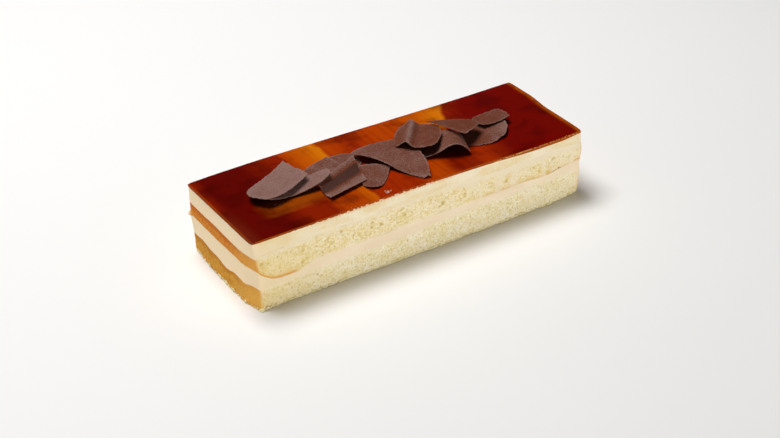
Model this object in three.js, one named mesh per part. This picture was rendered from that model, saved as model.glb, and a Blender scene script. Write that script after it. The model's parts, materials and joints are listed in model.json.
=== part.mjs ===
// Tres leches bar cake: two soaked sponges, two layers of cream, a thin caramel glaze
// and a heap of curled chocolate shavings. Millimetres, +Z up, cut front face at -Y,
// length along X, origin at the middle of the underside.
import * as THREE from 'three';

// Overall block. The height is that of the top at the near end.
const LENGTH = 310;
const WIDTH = 103;
const HEIGHT = 61.2;
const GLAZE_THICKNESS = 1.3;
const LAYER_GAP = 0.3;

// Lines between the layers: height above the underside, and how it changes along the cake.
// near is the end at -X, far the end at +X. A wave has a swing, the lengths along X and
// across Y that turn it by one radian, and a phase.
const LOWER_SPONGE_TOP = {
  height: 18.5, rise: 5.2, riseFrom: -110, riseTo: 110,
  nearDrop: 0.5, nearReach: 12, nearWave: { swing: 0.7, across: 4.3 },
  dip: 2, dipAt: -8, dipSpread: 18,
  farDrop: 0.5, farReach: 10, farWave: { swing: 0.8, across: 5.1, phase: 1 },
  waves: [{ swing: 0.5, along: 17 }, { swing: 0.3, along: 7.3, across: 9 }],
};
const UPPER_SPONGE_BOTTOM = {
  height: 28.2, rise: 0.9, riseFrom: -80, riseTo: -30, farRise: 3.5, farFrom: 110, farTo: 156,
  nearRise: 6, nearReach: 5, sag: 5, sagAt: -126, sagSpread: 19, sagDepth: 14,
  waves: [{ swing: 0.4, along: 14, phase: 2 }, { swing: 0.3, along: 6.1, across: -11 }],
};
const UPPER_SPONGE_TOP = {
  height: 49.3, nearDrop: 4, nearReach: 18, farDrop: 1, farReach: 8,
  waves: [{ swing: 0.5, along: 19, phase: 1 }, { swing: 0.4, along: 8.7, across: 8 }],
};

// Top of the glaze: it falls along the cake, swings at the back edge and has low shoulders
const TOP_FALL = { depth: 1.3, from: -20, to: 130 };
const TOP_WAVES = [
  { swing: 0.12, along: 29, across: -21, phase: 0.5 },
  { swing: -0.12, along: 29, across: 21 },
];
const SHOULDER = { near: 0.2, far: 0.1, front: 0.2, back: 0.3 };
const SHOULDER_REACH = { ends: 5, front: 3, back: 4 };
const FRONT_LIP = { drop: 1.5, from: 60, to: 110, backFrom: 132, backTo: 154.5 };
const GLAZE_BEAD = { depth: 0.8, from: 20, to: 80, reach: 3 };
const BACK_SWING = {
  wave: { swing: 1, along: 58, phase: 0.09 },
  drop: 0.5, reach: 30, depth: 0.6, from: 5, to: 40,
};

// Unevenness of the cut sides
const SKIRT_BULGE = 2;
const SKIRT_HEIGHT = 9;
const FRONT_SKIRT = {
  least: 0.35, swell: 0.65, at: 15, spread: 85, nearSwell: 0.65, nearReach: 14,
  waves: [{ swing: 0.12, along: 9 }, { swing: 0.08, along: 3.7 }],
};
const BACK_SKIRT = {
  least: 0.5, swell: 0.5, at: -30, spread: 90, nearSwell: 0, nearReach: 14,
  waves: [{ swing: 0.15, along: 11, phase: 1 }],
};
const WORN_CORNER = { depth: 3, from: 118, to: 154 };
const NEAR_TOP = { recess: 0.5, from: 20 };
const NEAR_FRONT = { recess: 3.7, from: -32, low: 25, high: 62 };
const NEAR_BACK = { recess: 2.6, from: 10, high: 32 };
const FAR_FOOT = { depth: 0.4, height: 9 };
const FAR_BULGE = { depth: 2.2, at: 41, spread: 9, low: 1.3, lowFrom: 32, lowTo: 20 };
const FAR_SLANT = { depth: 2.7, from: -8, to: 24 };
const CORNER = { recess: 0.5, nearFront: 0.6, from: 20, to: 50, reach: 2 };
const SIDE_FADE = { along: 10, across: 6 };

// Mesh density of the block
const STEPS_ALONG = 34;
const STEPS_ACROSS = 10;
const CROWDING_ALONG = 1.35;
const CROWDING_ACROSS = 1.6;
const WALL_ROWS = { sponge: 4, cream: 3, glaze: 2 };

// Chocolate shavings: thin sheets, listed in the order in which they were laid on the cake.
// x, y and heading place a sheet, length and width are its plan size, roundStart and roundEnd
// round the two ends of its outline from 0 (square) to 1 (elliptic), taper and skew draw the
// outline to one side, bend turns it along an arc (degrees), and the heights from arch to
// fold raise it out of its plane. foldAt and foldWidth are shares of half the length.
const SHAVING_THICKNESS = 1;
const SHAVING_CLEARANCE = 0.35;
const SHAVING_STEPS_ALONG = 10;
const SHAVING_STEPS_ACROSS = 6;
const NEARLY_STRAIGHT = 1e-9;
const FLAT_SHEET = {
  taper: 0, skew: 0, bend: 0, arch: 0, sway: 0, curl: 0, pitch: 0, roll: 0, twist: 0,
  fold: 0, foldAt: 0, foldWidth: 1,
};
const SHAVINGS = [
  {
    x: -40, y: 9, heading: 0, length: 30, width: 22, roundStart: 0.4, roundEnd: 0.6,
    arch: 1, pitch: -1, roll: 1,
  },
  {
    x: -60, y: 8, heading: 10, length: 28, width: 19, roundStart: 0.7, roundEnd: 0.2,
    arch: -1, pitch: 2,
  },
  {
    x: -31, y: -23, heading: 57, length: 33, width: 22, roundStart: 0.7, roundEnd: 0.3,
    taper: 0.3, arch: -1, curl: -1, pitch: 1,
  },
  {
    x: -56, y: -18, heading: 86, length: 23, width: 37, roundStart: 0.1, roundEnd: 0.1,
    skew: -5, arch: -3, pitch: 6, roll: -4, twist: -4,
  },
  {
    x: -90, y: -7, heading: -4, length: 58, width: 13, roundStart: 0.8, roundEnd: 0.9,
    arch: -4, pitch: 7, roll: 3,
  },
  {
    x: -105, y: 1, heading: 16, length: 47, width: 28, roundStart: 0.7, roundEnd: 0.1,
    arch: -3, pitch: 5, roll: -1, twist: 2,
  },
  {
    x: 83, y: -13, heading: -5, length: 42, width: 32, roundStart: 0.8, roundEnd: 1,
    skew: 5, arch: -1, pitch: 2, roll: 2,
  },
  {
    x: 40, y: -16, heading: -20, length: 39, width: 25, roundStart: 0.1, roundEnd: 0.1,
    arch: 7, sway: 3,
  },
  {
    x: 97, y: 0, heading: 3, length: 31, width: 19, roundStart: 0.7, roundEnd: 0.4,
    arch: -1, roll: -1,
  },
  {
    x: -3, y: -11, heading: -80, length: 61, width: 35, roundStart: 0.7, roundEnd: 0.6,
    taper: -0.5, skew: 11, bend: -30, arch: 5, pitch: -3,
  },
  {
    x: 25, y: -1, heading: -40, length: 38, width: 38, roundStart: 0.6, roundEnd: 0.7,
    pitch: 4, fold: 5, foldAt: -0.4, foldWidth: 0.25,
  },
  {
    x: 62, y: -4, heading: 8, length: 28, width: 27, roundStart: 0.1, roundEnd: 0.4,
    taper: -0.4, skew: -5, curl: -1, pitch: -4,
  },
];

// Square cells of the height field that the shavings are let down onto
const CELL = 0.5;
const LAYING_STEPS = 120;

const HALF_X = LENGTH / 2;
const HALF_Y = WIDTH / 2;
const { exp, sin, cos, sqrt, abs, max, min, sign, PI } = Math;

function smooth(from, to, t) {
  const s = min(1, max(0, (t - from) / (to - from)));
  return s * s * (3 - 2 * s);
}

function bell(t, centre, spread) {
  return exp(-(((t - centre) / spread) ** 2));
}

function fade(distance, reach) {
  return exp(-max(0, distance) / reach);
}

// Height of a wave, or of the sum of several, at a place in the plan.
function wave({ swing, along = Infinity, across = Infinity, phase = 0 }, x, y) {
  return swing * sin(x / along + y / across + phase);
}

function waves(list, x, y) {
  return list.reduce((sum, one) => sum + wave(one, x, y), 0);
}

// Height of the line between the lower sponge and the middle cream.
function lowerSpongeTop(x, y) {
  const line = LOWER_SPONGE_TOP;
  const drips = wave(line.nearWave, 0, y) - line.dip * bell(y, line.dipAt, line.dipSpread);
  const nearEnd = fade(x + HALF_X, line.nearReach) * (drips - line.nearDrop);
  const farEnd = fade(HALF_X - x, line.farReach) * (wave(line.farWave, 0, y) - line.farDrop);
  const rise = line.rise * smooth(line.riseFrom, line.riseTo, x);
  return line.height + rise + waves(line.waves, x, y) + nearEnd + farEnd;
}

// Height of the line between the middle cream and the upper sponge.
function upperSpongeBottom(x, y) {
  const line = UPPER_SPONGE_BOTTOM;
  const sag = line.sag * exp(-(((x - line.sagAt) / line.sagSpread) ** 4));
  const frontSag = sag * fade(y + HALF_Y, line.sagDepth);
  const nearEnd = line.nearRise * fade(x + HALF_X, line.nearReach);
  const farEnd = line.farRise * smooth(line.farFrom, line.farTo, x);
  const rise = line.rise * smooth(line.riseFrom, line.riseTo, x);
  return line.height + rise + waves(line.waves, x, y) + nearEnd + farEnd - frontSag;
}

// Height of the line between the upper sponge and the top cream.
function upperSpongeTop(x, y) {
  const line = UPPER_SPONGE_TOP;
  const nearEnd = line.nearDrop * fade(x + HALF_X, line.nearReach);
  const farEnd = line.farDrop * fade(HALF_X - x, line.farReach);
  return line.height + waves(line.waves, x, y) - nearEnd - farEnd;
}

// Top of the glaze.
function glazeTop(x, y) {
  const fall = TOP_FALL.depth * smooth(TOP_FALL.from, TOP_FALL.to, x);
  const ends = SHOULDER.near * fade(x + HALF_X, SHOULDER_REACH.ends)
    + SHOULDER.far * fade(HALF_X - x, SHOULDER_REACH.ends);
  const lipEnd = smooth(FRONT_LIP.backTo, FRONT_LIP.backFrom, x);
  const lip = SHOULDER.front + FRONT_LIP.drop * smooth(FRONT_LIP.from, FRONT_LIP.to, x) * lipEnd;
  const front = lip * fade(y + HALF_Y, SHOULDER_REACH.front);
  const back = SHOULDER.back * fade(HALF_Y - y, SHOULDER_REACH.back);
  const swing = BACK_SWING.drop * wave(BACK_SWING.wave, x, 0) * fade(HALF_Y - y, BACK_SWING.reach);
  return HEIGHT - fall - ends - front - back - swing + waves(TOP_WAVES, x, y);
}

// Underside of the glaze, with a thicker bead along the far part of the front edge.
function glazeBottom(x, y) {
  const along = smooth(GLAZE_BEAD.from, GLAZE_BEAD.to, x);
  const bead = GLAZE_BEAD.depth * along * fade(y + HALF_Y, GLAZE_BEAD.reach);
  return glazeTop(x, y) - GLAZE_THICKNESS - bead;
}

// How far the skirt of crumb at the foot of a long side stands out.
function skirt(sizes, x, z) {
  const swell = sizes.swell * bell(x, sizes.at, sizes.spread);
  const nearSwell = sizes.nearSwell * fade(x + HALF_X, sizes.nearReach);
  const share = sizes.least + swell + nearSwell + waves(sizes.waves, x, 0);
  return SKIRT_BULGE * min(1, share) * exp(-((z / SKIRT_HEIGHT) ** 2));
}

// How far each side stands out beyond the nominal block at a place along it and a height.
function frontStand(x, z) {
  const worn = smooth(WORN_CORNER.from, WORN_CORNER.to, x) * fade(z, SKIRT_HEIGHT);
  return skirt(FRONT_SKIRT, x, z) - WORN_CORNER.depth * worn;
}

function backStand(x, z) {
  const swing = BACK_SWING.depth * wave(BACK_SWING.wave, x, 0) * smooth(BACK_SWING.from, BACK_SWING.to, z);
  return min(SKIRT_BULGE, skirt(BACK_SKIRT, x, z) - swing);
}

function nearStand(y, z) {
  const top = NEAR_TOP.recess * smooth(0, NEAR_TOP.from, z);
  const front = NEAR_FRONT.recess * smooth(NEAR_FRONT.high, NEAR_FRONT.low, z);
  const back = NEAR_BACK.recess * max(0, 1 - z / NEAR_BACK.high);
  return -top - front * smooth(NEAR_FRONT.from, -HALF_Y, y) - back * smooth(NEAR_BACK.from, HALF_Y, y);
}

function farStand(y, z) {
  const bulge = FAR_BULGE.depth * bell(z, FAR_BULGE.at, FAR_BULGE.spread);
  const low = FAR_BULGE.low * smooth(FAR_BULGE.lowFrom, FAR_BULGE.lowTo, z);
  const slant = FAR_SLANT.depth * smooth(FAR_SLANT.from, FAR_SLANT.to, y);
  return min(0, bulge + low + slant - FAR_SLANT.depth) - FAR_FOOT.depth * fade(z, FAR_FOOT.height);
}

// Point of the block for plan parameters u, v in -1..1 at height z. The sides' unevenness
// fades out towards the middle of the block.
function blockPoint(u, v, z) {
  const x = u * HALF_X;
  const y = v * HALF_Y;
  const nearFront = u < 0 && v < 0 ? CORNER.nearFront * smooth(CORNER.from, CORNER.to, z) : 0;
  const corner = CORNER.recess + nearFront;
  const cornerX = corner * fade(HALF_Y - abs(y), CORNER.reach);
  const cornerY = corner * fade(HALF_X - abs(x), CORNER.reach);
  const outX = (u < 0 ? nearStand(y, z) : farStand(y, z)) - cornerX;
  const outY = (v < 0 ? frontStand(x, z) : backStand(x, z)) - cornerY;
  return new THREE.Vector3(
    x + sign(u) * abs(u) ** SIDE_FADE.along * outX,
    y + sign(v) * abs(v) ** SIDE_FADE.across * outY,
    z,
  );
}

// Grid line positions in -1..1, closer together towards both ends.
function gridLines(steps, crowding) {
  return Array.from({ length: steps + 1 }, (_, i) => {
    const t = (2 * i) / steps - 1;
    return sign(t) * (1 - (1 - abs(t)) ** crowding);
  });
}

// Closed solid between two grids of points with the same outline rows.
// rings[k] is the k-th outline from the bottom up; the first and last are the grids' own.
function closedSolid(bottom, top, rings) {
  const positions = [];
  const quad = (a, b, c, d) => {
    for (const p of [a, b, c, a, c, d]) positions.push(p.x, p.y, p.z);
  };
  const rows = top.length - 1;
  const columns = top[0].length - 1;
  for (let i = 0; i < rows; i += 1) {
    for (let j = 0; j < columns; j += 1) {
      quad(top[i][j], top[i + 1][j], top[i + 1][j + 1], top[i][j + 1]);
      quad(bottom[i][j], bottom[i][j + 1], bottom[i + 1][j + 1], bottom[i + 1][j]);
    }
  }
  for (let k = 0; k + 1 < rings.length; k += 1) {
    const low = rings[k];
    const high = rings[k + 1];
    for (let i = 0; i < low.length; i += 1) {
      const next = (i + 1) % low.length;
      quad(low[i], low[next], high[next], high[i]);
    }
  }
  const geometry = new THREE.BufferGeometry();
  geometry.setAttribute('position', new THREE.Float32BufferAttribute(positions, 3));
  geometry.computeVertexNormals();
  return geometry;
}

// Outline of a grid, anticlockwise seen from above: [row, column] pairs.
function outline(rows, columns) {
  const places = [];
  for (let i = 0; i < rows; i += 1) places.push([i, 0]);
  for (let j = 0; j < columns; j += 1) places.push([rows, j]);
  for (let i = rows; i > 0; i -= 1) places.push([i, columns]);
  for (let j = columns; j > 0; j -= 1) places.push([0, j]);
  return places;
}

function layer(bottomHeight, topHeight, wallRows) {
  const us = gridLines(STEPS_ALONG, CROWDING_ALONG);
  const vs = gridLines(STEPS_ACROSS, CROWDING_ACROSS);
  const heightAt = (u, v, t) => {
    const low = bottomHeight(u * HALF_X, v * HALF_Y);
    const high = topHeight(u * HALF_X, v * HALF_Y);
    return low + (high - low) * t;
  };
  const grid = (t) => us.map((u) => vs.map((v) => blockPoint(u, v, heightAt(u, v, t))));
  const places = outline(STEPS_ALONG, STEPS_ACROSS);
  const rings = Array.from({ length: wallRows + 1 }, (_, k) => places.map(([i, j]) => (
    blockPoint(us[i], vs[j], heightAt(us[i], vs[j], k / wallRows)))));
  return closedSolid(grid(0), grid(1), rings);
}

// Middle surface of a shaving. The square u, v is pressed to a rounded outline a, b, laid
// along an arc in plan and raised by arch, sway, curl, pitch, roll, twist and fold.
function sheetPoint(s, u, v) {
  const round = s.roundStart + ((s.roundEnd - s.roundStart) * (u + 1)) / 2;
  const a = u * sqrt(1 - (round * v * v) / 2);
  const b = v * sqrt(1 - (round * u * u) / 2);
  const along = (s.length / 2) * a + s.skew * b;
  const across = (s.width / 2) * b * (1 + s.taper * a);
  const bend = THREE.MathUtils.degToRad(s.bend);
  const radius = s.length / (bend || NEARLY_STRAIGHT);
  const turn = along / radius;
  const forward = (radius - across) * sin(turn);
  const sideways = radius - (radius - across) * cos(turn);
  const heading = THREE.MathUtils.degToRad(s.heading);
  const height = s.arch * (1 - a * a) + s.sway * sin(PI * a) + s.curl * b * b
    + (s.pitch * a + s.roll * b + s.twist * a * b) / 2
    + s.fold * bell(a, s.foldAt, s.foldWidth);
  return new THREE.Vector3(
    s.x + forward * cos(heading) - sideways * sin(heading),
    s.y + forward * sin(heading) + sideways * cos(heading),
    height,
  );
}

function sheetGrid(s, stepsAlong, stepsAcross) {
  const vs = gridLines(stepsAcross, 1);
  return gridLines(stepsAlong, 1).map((u) => vs.map((v) => sheetPoint(s, u, v)));
}

// Height field of what lies on the cake so far, starting from the glaze.
function bareTop() {
  const cells = new Map();
  const key = (x, y) => `${Math.round(x / CELL)},${Math.round(y / CELL)}`;
  return {
    heightAt: (x, y) => cells.get(key(x, y)) ?? glazeTop(x, y),
    cover(x, y, z) {
      for (const dx of [-CELL, 0, CELL]) {
        for (const dy of [-CELL, 0, CELL]) {
          const place = key(x + dx, y + dy);
          cells.set(place, max(z, cells.get(place) ?? 0));
        }
      }
    },
  };
}

// Lets a shaving down until it stops just clear of what lies beneath it, and adds its own
// upper face to the height field. Returns how far its middle surface is raised.
function lay(s, field) {
  const points = sheetGrid(s, LAYING_STEPS, LAYING_STEPS).flat();
  const stand = SHAVING_CLEARANCE + SHAVING_THICKNESS / 2;
  const raise = points.reduce((most, p) => max(most, field.heightAt(p.x, p.y) - p.z + stand), 0);
  for (const p of points) field.cover(p.x, p.y, p.z + raise + SHAVING_THICKNESS / 2);
  return raise;
}

function shaving(s, raise) {
  const middle = sheetGrid(s, SHAVING_STEPS_ALONG, SHAVING_STEPS_ACROSS);
  const face = (offset) => middle.map((row) => row.map((p) => (
    new THREE.Vector3(p.x, p.y, p.z + raise + offset))));
  const bottom = face(-SHAVING_THICKNESS / 2);
  const top = face(SHAVING_THICKNESS / 2);
  const places = outline(SHAVING_STEPS_ALONG, SHAVING_STEPS_ACROSS);
  const rings = [bottom, top].map((grid) => places.map(([i, j]) => grid[i][j]));
  return closedSolid(bottom, top, rings);
}

function finish(name, color, roughness) {
  const material = new THREE.MeshStandardMaterial({ color, roughness, metalness: 0 });
  material.name = name;
  return material;
}

const sponge = finish('sponge', 0xe9d9a0, 0.85);
const cream = finish('cream', 0xf0dfbf, 0.5);
const glaze = finish('glaze', 0x8a2c08, 0.2);
const chocolate = finish('chocolate', 0x6e4a40, 0.55);

const cake = new THREE.Group();
cake.name = 'tres_leches_cake';

function add(name, geometry, material) {
  const mesh = new THREE.Mesh(geometry, material);
  mesh.name = name;
  cake.add(mesh);
}

const under = (height) => (x, y) => height(x, y) - LAYER_GAP / 2;
const over = (height) => (x, y) => height(x, y) + LAYER_GAP / 2;

add('lower_sponge', layer(() => 0, under(lowerSpongeTop), WALL_ROWS.sponge), sponge);
add('middle_cream', layer(over(lowerSpongeTop), under(upperSpongeBottom), WALL_ROWS.cream), cream);
add('upper_sponge', layer(over(upperSpongeBottom), under(upperSpongeTop), WALL_ROWS.sponge), sponge);
add('top_cream', layer(over(upperSpongeTop), under(glazeBottom), WALL_ROWS.cream), cream);
add('caramel_glaze', layer(over(glazeBottom), glazeTop, WALL_ROWS.glaze), glaze);

const field = bareTop();
SHAVINGS.forEach((sizes, index) => {
  const sheet = { ...FLAT_SHEET, ...sizes };
  const name = `chocolate_shaving_${String(index + 1).padStart(2, '0')}`;
  add(name, shaving(sheet, lay(sheet, field)), chocolate);
});

export default cake;
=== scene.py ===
"""Dresses a bar of tres leches cake: crumb, cream, caramel glaze and curled chocolate shavings.

Sizes are in millimetres in the frame of the solids: +X along the bar, the cut front face at -Y,
+Z up, origin at the middle of the underside. Meshes are put down in metres.
"""

import json
import logging
import math
from abc import ABC, abstractmethod
from dataclasses import dataclass
from enum import Enum
from itertools import product
from typing import Any, Callable, ClassVar

import bpy
import numpy as np
from mathutils import Matrix, Vector
from numpy.typing import NDArray

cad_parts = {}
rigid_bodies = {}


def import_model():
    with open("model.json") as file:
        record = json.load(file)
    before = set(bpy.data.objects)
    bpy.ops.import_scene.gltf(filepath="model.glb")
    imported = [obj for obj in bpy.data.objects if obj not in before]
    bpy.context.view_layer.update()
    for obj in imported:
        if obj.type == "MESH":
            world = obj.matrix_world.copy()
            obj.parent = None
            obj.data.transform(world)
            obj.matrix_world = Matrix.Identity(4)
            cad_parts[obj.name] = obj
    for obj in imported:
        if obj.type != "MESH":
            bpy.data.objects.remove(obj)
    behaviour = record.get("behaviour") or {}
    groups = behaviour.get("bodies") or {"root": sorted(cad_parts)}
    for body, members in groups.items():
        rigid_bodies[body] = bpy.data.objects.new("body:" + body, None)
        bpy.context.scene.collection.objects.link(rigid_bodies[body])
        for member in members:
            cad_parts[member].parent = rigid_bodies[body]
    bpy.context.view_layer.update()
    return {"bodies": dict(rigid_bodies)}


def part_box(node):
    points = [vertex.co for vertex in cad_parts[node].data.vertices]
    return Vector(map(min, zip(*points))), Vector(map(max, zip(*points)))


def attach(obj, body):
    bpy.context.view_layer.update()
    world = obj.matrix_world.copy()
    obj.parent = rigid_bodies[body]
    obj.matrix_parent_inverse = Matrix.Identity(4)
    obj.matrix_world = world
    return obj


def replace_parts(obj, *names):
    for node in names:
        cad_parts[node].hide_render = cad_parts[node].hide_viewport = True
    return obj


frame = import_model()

Array = NDArray[np.float64]
Surface = Callable[[Array, Array], Array]
Tint = tuple[float, float, float, float]
Span = tuple[float, float]
Spans = tuple[float, float, float]
Stop = tuple[float, Tint]

# A millimetre in metres
METRES = 0.001
# Middle of the shaders' soft noise, which runs from 0 to 1
MIDDLE = 0.5
LOG = logging.getLogger("cake")
# The cake is one body
(BODY,) = frame["bodies"]


class Slot(Enum):
    """The record's finishes."""

    SPONGE = "sponge"
    CREAM = "cream"
    GLAZE = "glaze"
    CHOCOLATE = "chocolate"


class Axis(Enum):
    """Directions of the frame."""

    X = "X"
    Y = "Y"
    Z = "Z"


class Mark(Enum):
    """Numbers that a mesh carries at its points for its finish to read."""

    # How much painted shade darkens the crumb inside a pore
    PORE = "pore"
    SOAK = "soak"
    FRINGE = "fringe"
    SMEAR = "smear"
    # How pale the chocolate is: partly bloom, partly painted sheen, shade and highlight
    BLOOM_AND_PAINTED_LIGHT = "bloom_and_painted_light"


def screen(red: int, green: int, blue: int) -> Tint:
    """Turns a colour as a screen shows it into linear light, by the usual curve of screens.

    Args:
        red: Red from 0 to 255.
        green: Green from 0 to 255.
        blue: Blue from 0 to 255.

    Returns:
        Linear red, green and blue with full cover.
    """
    shares = np.array([red, green, blue]) / 255.0
    light = np.where(shares > 0.04045, ((shares + 0.055) / 1.055) ** 2.4, shares / 12.92)
    return (float(light[0]), float(light[1]), float(light[2]), 1.0)


def smooth(start: float, end: float, x: Array) -> Array:
    """S-curve: s * s * (3 - 2 * s), where s is how far x has gone from start to end.

    Args:
        start: Where the curve is 0.
        end: Where the curve is 1.
        x: Places along the way.

    Returns:
        Numbers from 0 to 1.
    """
    s = np.clip((x - start) / (end - start), 0.0, 1.0)
    return s * s * (3.0 - 2.0 * s)


def bell(x: Array, centre: float, spread: float, power: int = 2) -> Array:
    """Bell curve: e to the minus of the distance in spreads, raised to a power.

    Args:
        x: Places along the way.
        centre: Where the curve is 1.
        spread: Distance at which it has fallen to 1 / e.
        power: 2 for a round bell, 4 for one with a flat top.

    Returns:
        Numbers from 0 to 1.
    """
    return np.exp(-(((x - centre) / spread) ** power))


def fade(distance: Array, reach: float) -> Array:
    """Falling curve: e to the minus of distance over reach, and 1 below zero distance.

    Args:
        distance: Distance from an edge.
        reach: Distance at which it has fallen to 1 / e.

    Returns:
        Numbers from 0 to 1.
    """
    return np.exp(-np.maximum(0.0, distance) / reach)


def points_at(x: Array, y: Array, z: Array) -> Array:
    """Stacks three arrays of coordinates into points along a last axis."""
    return np.stack(np.broadcast_arrays(x, y, z), axis=-1)


@dataclass(frozen=True)
class Grain:
    """Noise in space that is the same at every run, from a hash of lattice cells."""

    seed: int
    shuffle: tuple[int, int, int] = (73856093, 19349663, 83492791)
    stir: tuple[int, int] = (2246822519, 3266489917)
    shifts: tuple[int, int, int] = (15, 13, 16)
    seed_step: int = 7919
    channel_step: int = 104729
    least_radius: float = 0.2
    more_radius: float = 0.3

    def draw(self, cells: Array, channel: int) -> Array:
        """Draws one number for each lattice cell by mixing the bits of its three indices.

        Args:
            cells: Whole-number indices, three along the last axis.
            channel: Which of several independent draws to make.

        Returns:
            Numbers from 0 to 1.
        """
        whole = cells.astype(np.int64).astype(np.uint32)
        spread = whole * np.array(self.shuffle, np.uint32)
        mixed = spread[..., 0] ^ spread[..., 1] ^ spread[..., 2]
        mixed = mixed + np.uint32(self.seed_step * self.seed + self.channel_step * channel)
        mixed = (mixed ^ (mixed >> self.shifts[0])) * np.uint32(self.stir[0])
        mixed = (mixed ^ (mixed >> self.shifts[1])) * np.uint32(self.stir[1])
        mixed = mixed ^ (mixed >> self.shifts[2])
        return mixed / float(2**32)

    def value(self, points: Array, size: float) -> Array:
        """Soft noise: draws at the corners of each lattice cube, blended by an S-curve.

        Args:
            points: Places in space.
            size: Side of the lattice cubes.

        Returns:
            Numbers from -1 to 1.
        """
        scaled = points / size
        cell = np.floor(scaled)
        share = scaled - cell
        share = share * share * (3.0 - 2.0 * share)
        total = np.zeros(points.shape[:-1])
        for corner in product((0, 1), repeat=3):
            weight = np.prod(np.where(corner, share, 1.0 - share), axis=-1)
            total += weight * self.draw(cell + corner, 0)
        return 2.0 * total - 1.0

    def rough(self, points: Array, size: float, octaves: int = 3) -> Array:
        """Rough noise: soft noise summed over halved sizes, each half as strong.

        Args:
            points: Places in space.
            size: Side of the largest lattice cubes.
            octaves: How many sizes are summed.

        Returns:
            Numbers from about -1 to 1.
        """
        steps = range(octaves)
        total = sum(self.value(points, size / 2**k) / 2**k for k in steps)
        return total / sum(1.0 / 2**k for k in steps)

    def pores(self, points: Array, size: float, share: Array | float) -> Array:
        """Round hollows: a lattice cell may hold one ball, and depth is 1 - (distance / radius) squared.

        Args:
            points: Places in space.
            size: Side of the lattice cubes; a ball's radius is a fifth to a half of it.
            share: Share of the cells that hold a ball.

        Returns:
            Depth in the nearest ball, from 0 outside to 1 at its centre.
        """
        scaled = points / size
        cell = np.floor(scaled)
        depth = np.zeros(points.shape[:-1])
        for offset in product((-1, 0, 1), repeat=3):
            neighbour = cell + offset
            jitter = np.stack([self.draw(neighbour, k) for k in (1, 2, 3)], axis=-1)
            radius = self.least_radius + self.more_radius * self.draw(neighbour, 4)
            held = self.draw(neighbour, 5) < share
            gap = np.sum((scaled - neighbour - jitter) ** 2, axis=-1)
            depth = np.maximum(depth, held * (1.0 - gap / radius**2))
        return depth


@dataclass(frozen=True)
class Wave:
    """A gentle wave over the plan: swing * sin(x / along + y / across + phase)."""

    swing: float
    along: float = math.inf
    across: float = math.inf
    phase: float = 0.0

    def at(self, x: Array, y: Array) -> Array:
        """Height of the wave at places in the plan."""
        return self.swing * np.sin(x / self.along + y / self.across + self.phase)


@dataclass(frozen=True)
class Rise:
    """A slow rise along the bar, by an S-curve between two places."""

    amount: float
    start: float
    end: float

    def at(self, x: Array) -> Array:
        """Height gained at places along the bar."""
        return self.amount * smooth(self.start, self.end, x)


@dataclass(frozen=True)
class EndTurn:
    """How a line between layers turns up or down as it nears an end of the bar."""

    change: float
    reach: float
    waves: tuple[Wave, ...] = ()
    dip: float = 0.0
    dip_at: float = -8.0
    dip_spread: float = 18.0

    def at(self, distance: Array, y: Array) -> Array:
        """Height change: it fades with distance from the end, and waves and dips across it.

        Args:
            distance: Distance from the end.
            y: Places across the bar.

        Returns:
            Heights to add to the line.
        """
        across = sum((wave.at(np.zeros_like(y), y) for wave in self.waves), np.zeros_like(y))
        dip = self.dip * bell(y, self.dip_at, self.dip_spread)
        return fade(distance, self.reach) * (self.change + across - dip)


@dataclass(frozen=True)
class LayerLine:
    """The line between two layers: a level with rises, waves, turns at the ends and a front sag."""

    level: float
    near: EndTurn
    far: EndTurn
    rises: tuple[Rise, ...] = ()
    waves: tuple[Wave, ...] = ()
    sag: float = 0.0
    sag_at: float = -126.0
    sag_spread: float = 19.0
    sag_depth: float = 14.0


@dataclass(frozen=True)
class Skirt:
    """Crumb that bulges at the foot of a long side: a least share, swells and small waves."""

    least: float
    swell: float
    swell_at: float
    spread: float
    waves: tuple[Wave, ...]
    near_swell: float = 0.0
    near_at: float = -155.0
    near_reach: float = 14.0
    bulge: float = 2.0
    height: float = 9.0

    def at(self, x: Array, z: Array) -> Array:
        """How far it stands out: a share of the bulge along the side times a bell over height.

        Args:
            x: Places along the bar.
            z: Heights.

        Returns:
            Distances outwards.
        """
        share = self.least + self.swell * bell(x, self.swell_at, self.spread)
        share = share + self.near_swell * fade(x - self.near_at, self.near_reach)
        share = share + sum((wave.at(x, np.zeros_like(x)) for wave in self.waves), np.zeros_like(x))
        return self.bulge * np.minimum(1.0, share) * bell(z, 0.0, self.height)


@dataclass(frozen=True)
class Tear:
    """How badly the glaze's front edge is torn along the bar: worst in the middle of the near half."""

    rest: float = 0.12
    weak: float = 0.5
    near: Span = (-138.0, -120.0)
    worst: Span = (-86.0, -70.0)
    far: Span = (26.0, -6.0)

    def at(self, x: Array) -> Array:
        """Share of the full tear: S-curves in from the near corner, up to the worst part, and out again."""
        inner = self.weak + (1.0 - self.weak) * smooth(*self.worst, x)
        return self.rest + (1.0 - self.rest) * inner * smooth(*self.near, x) * smooth(*self.far, x)


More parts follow.
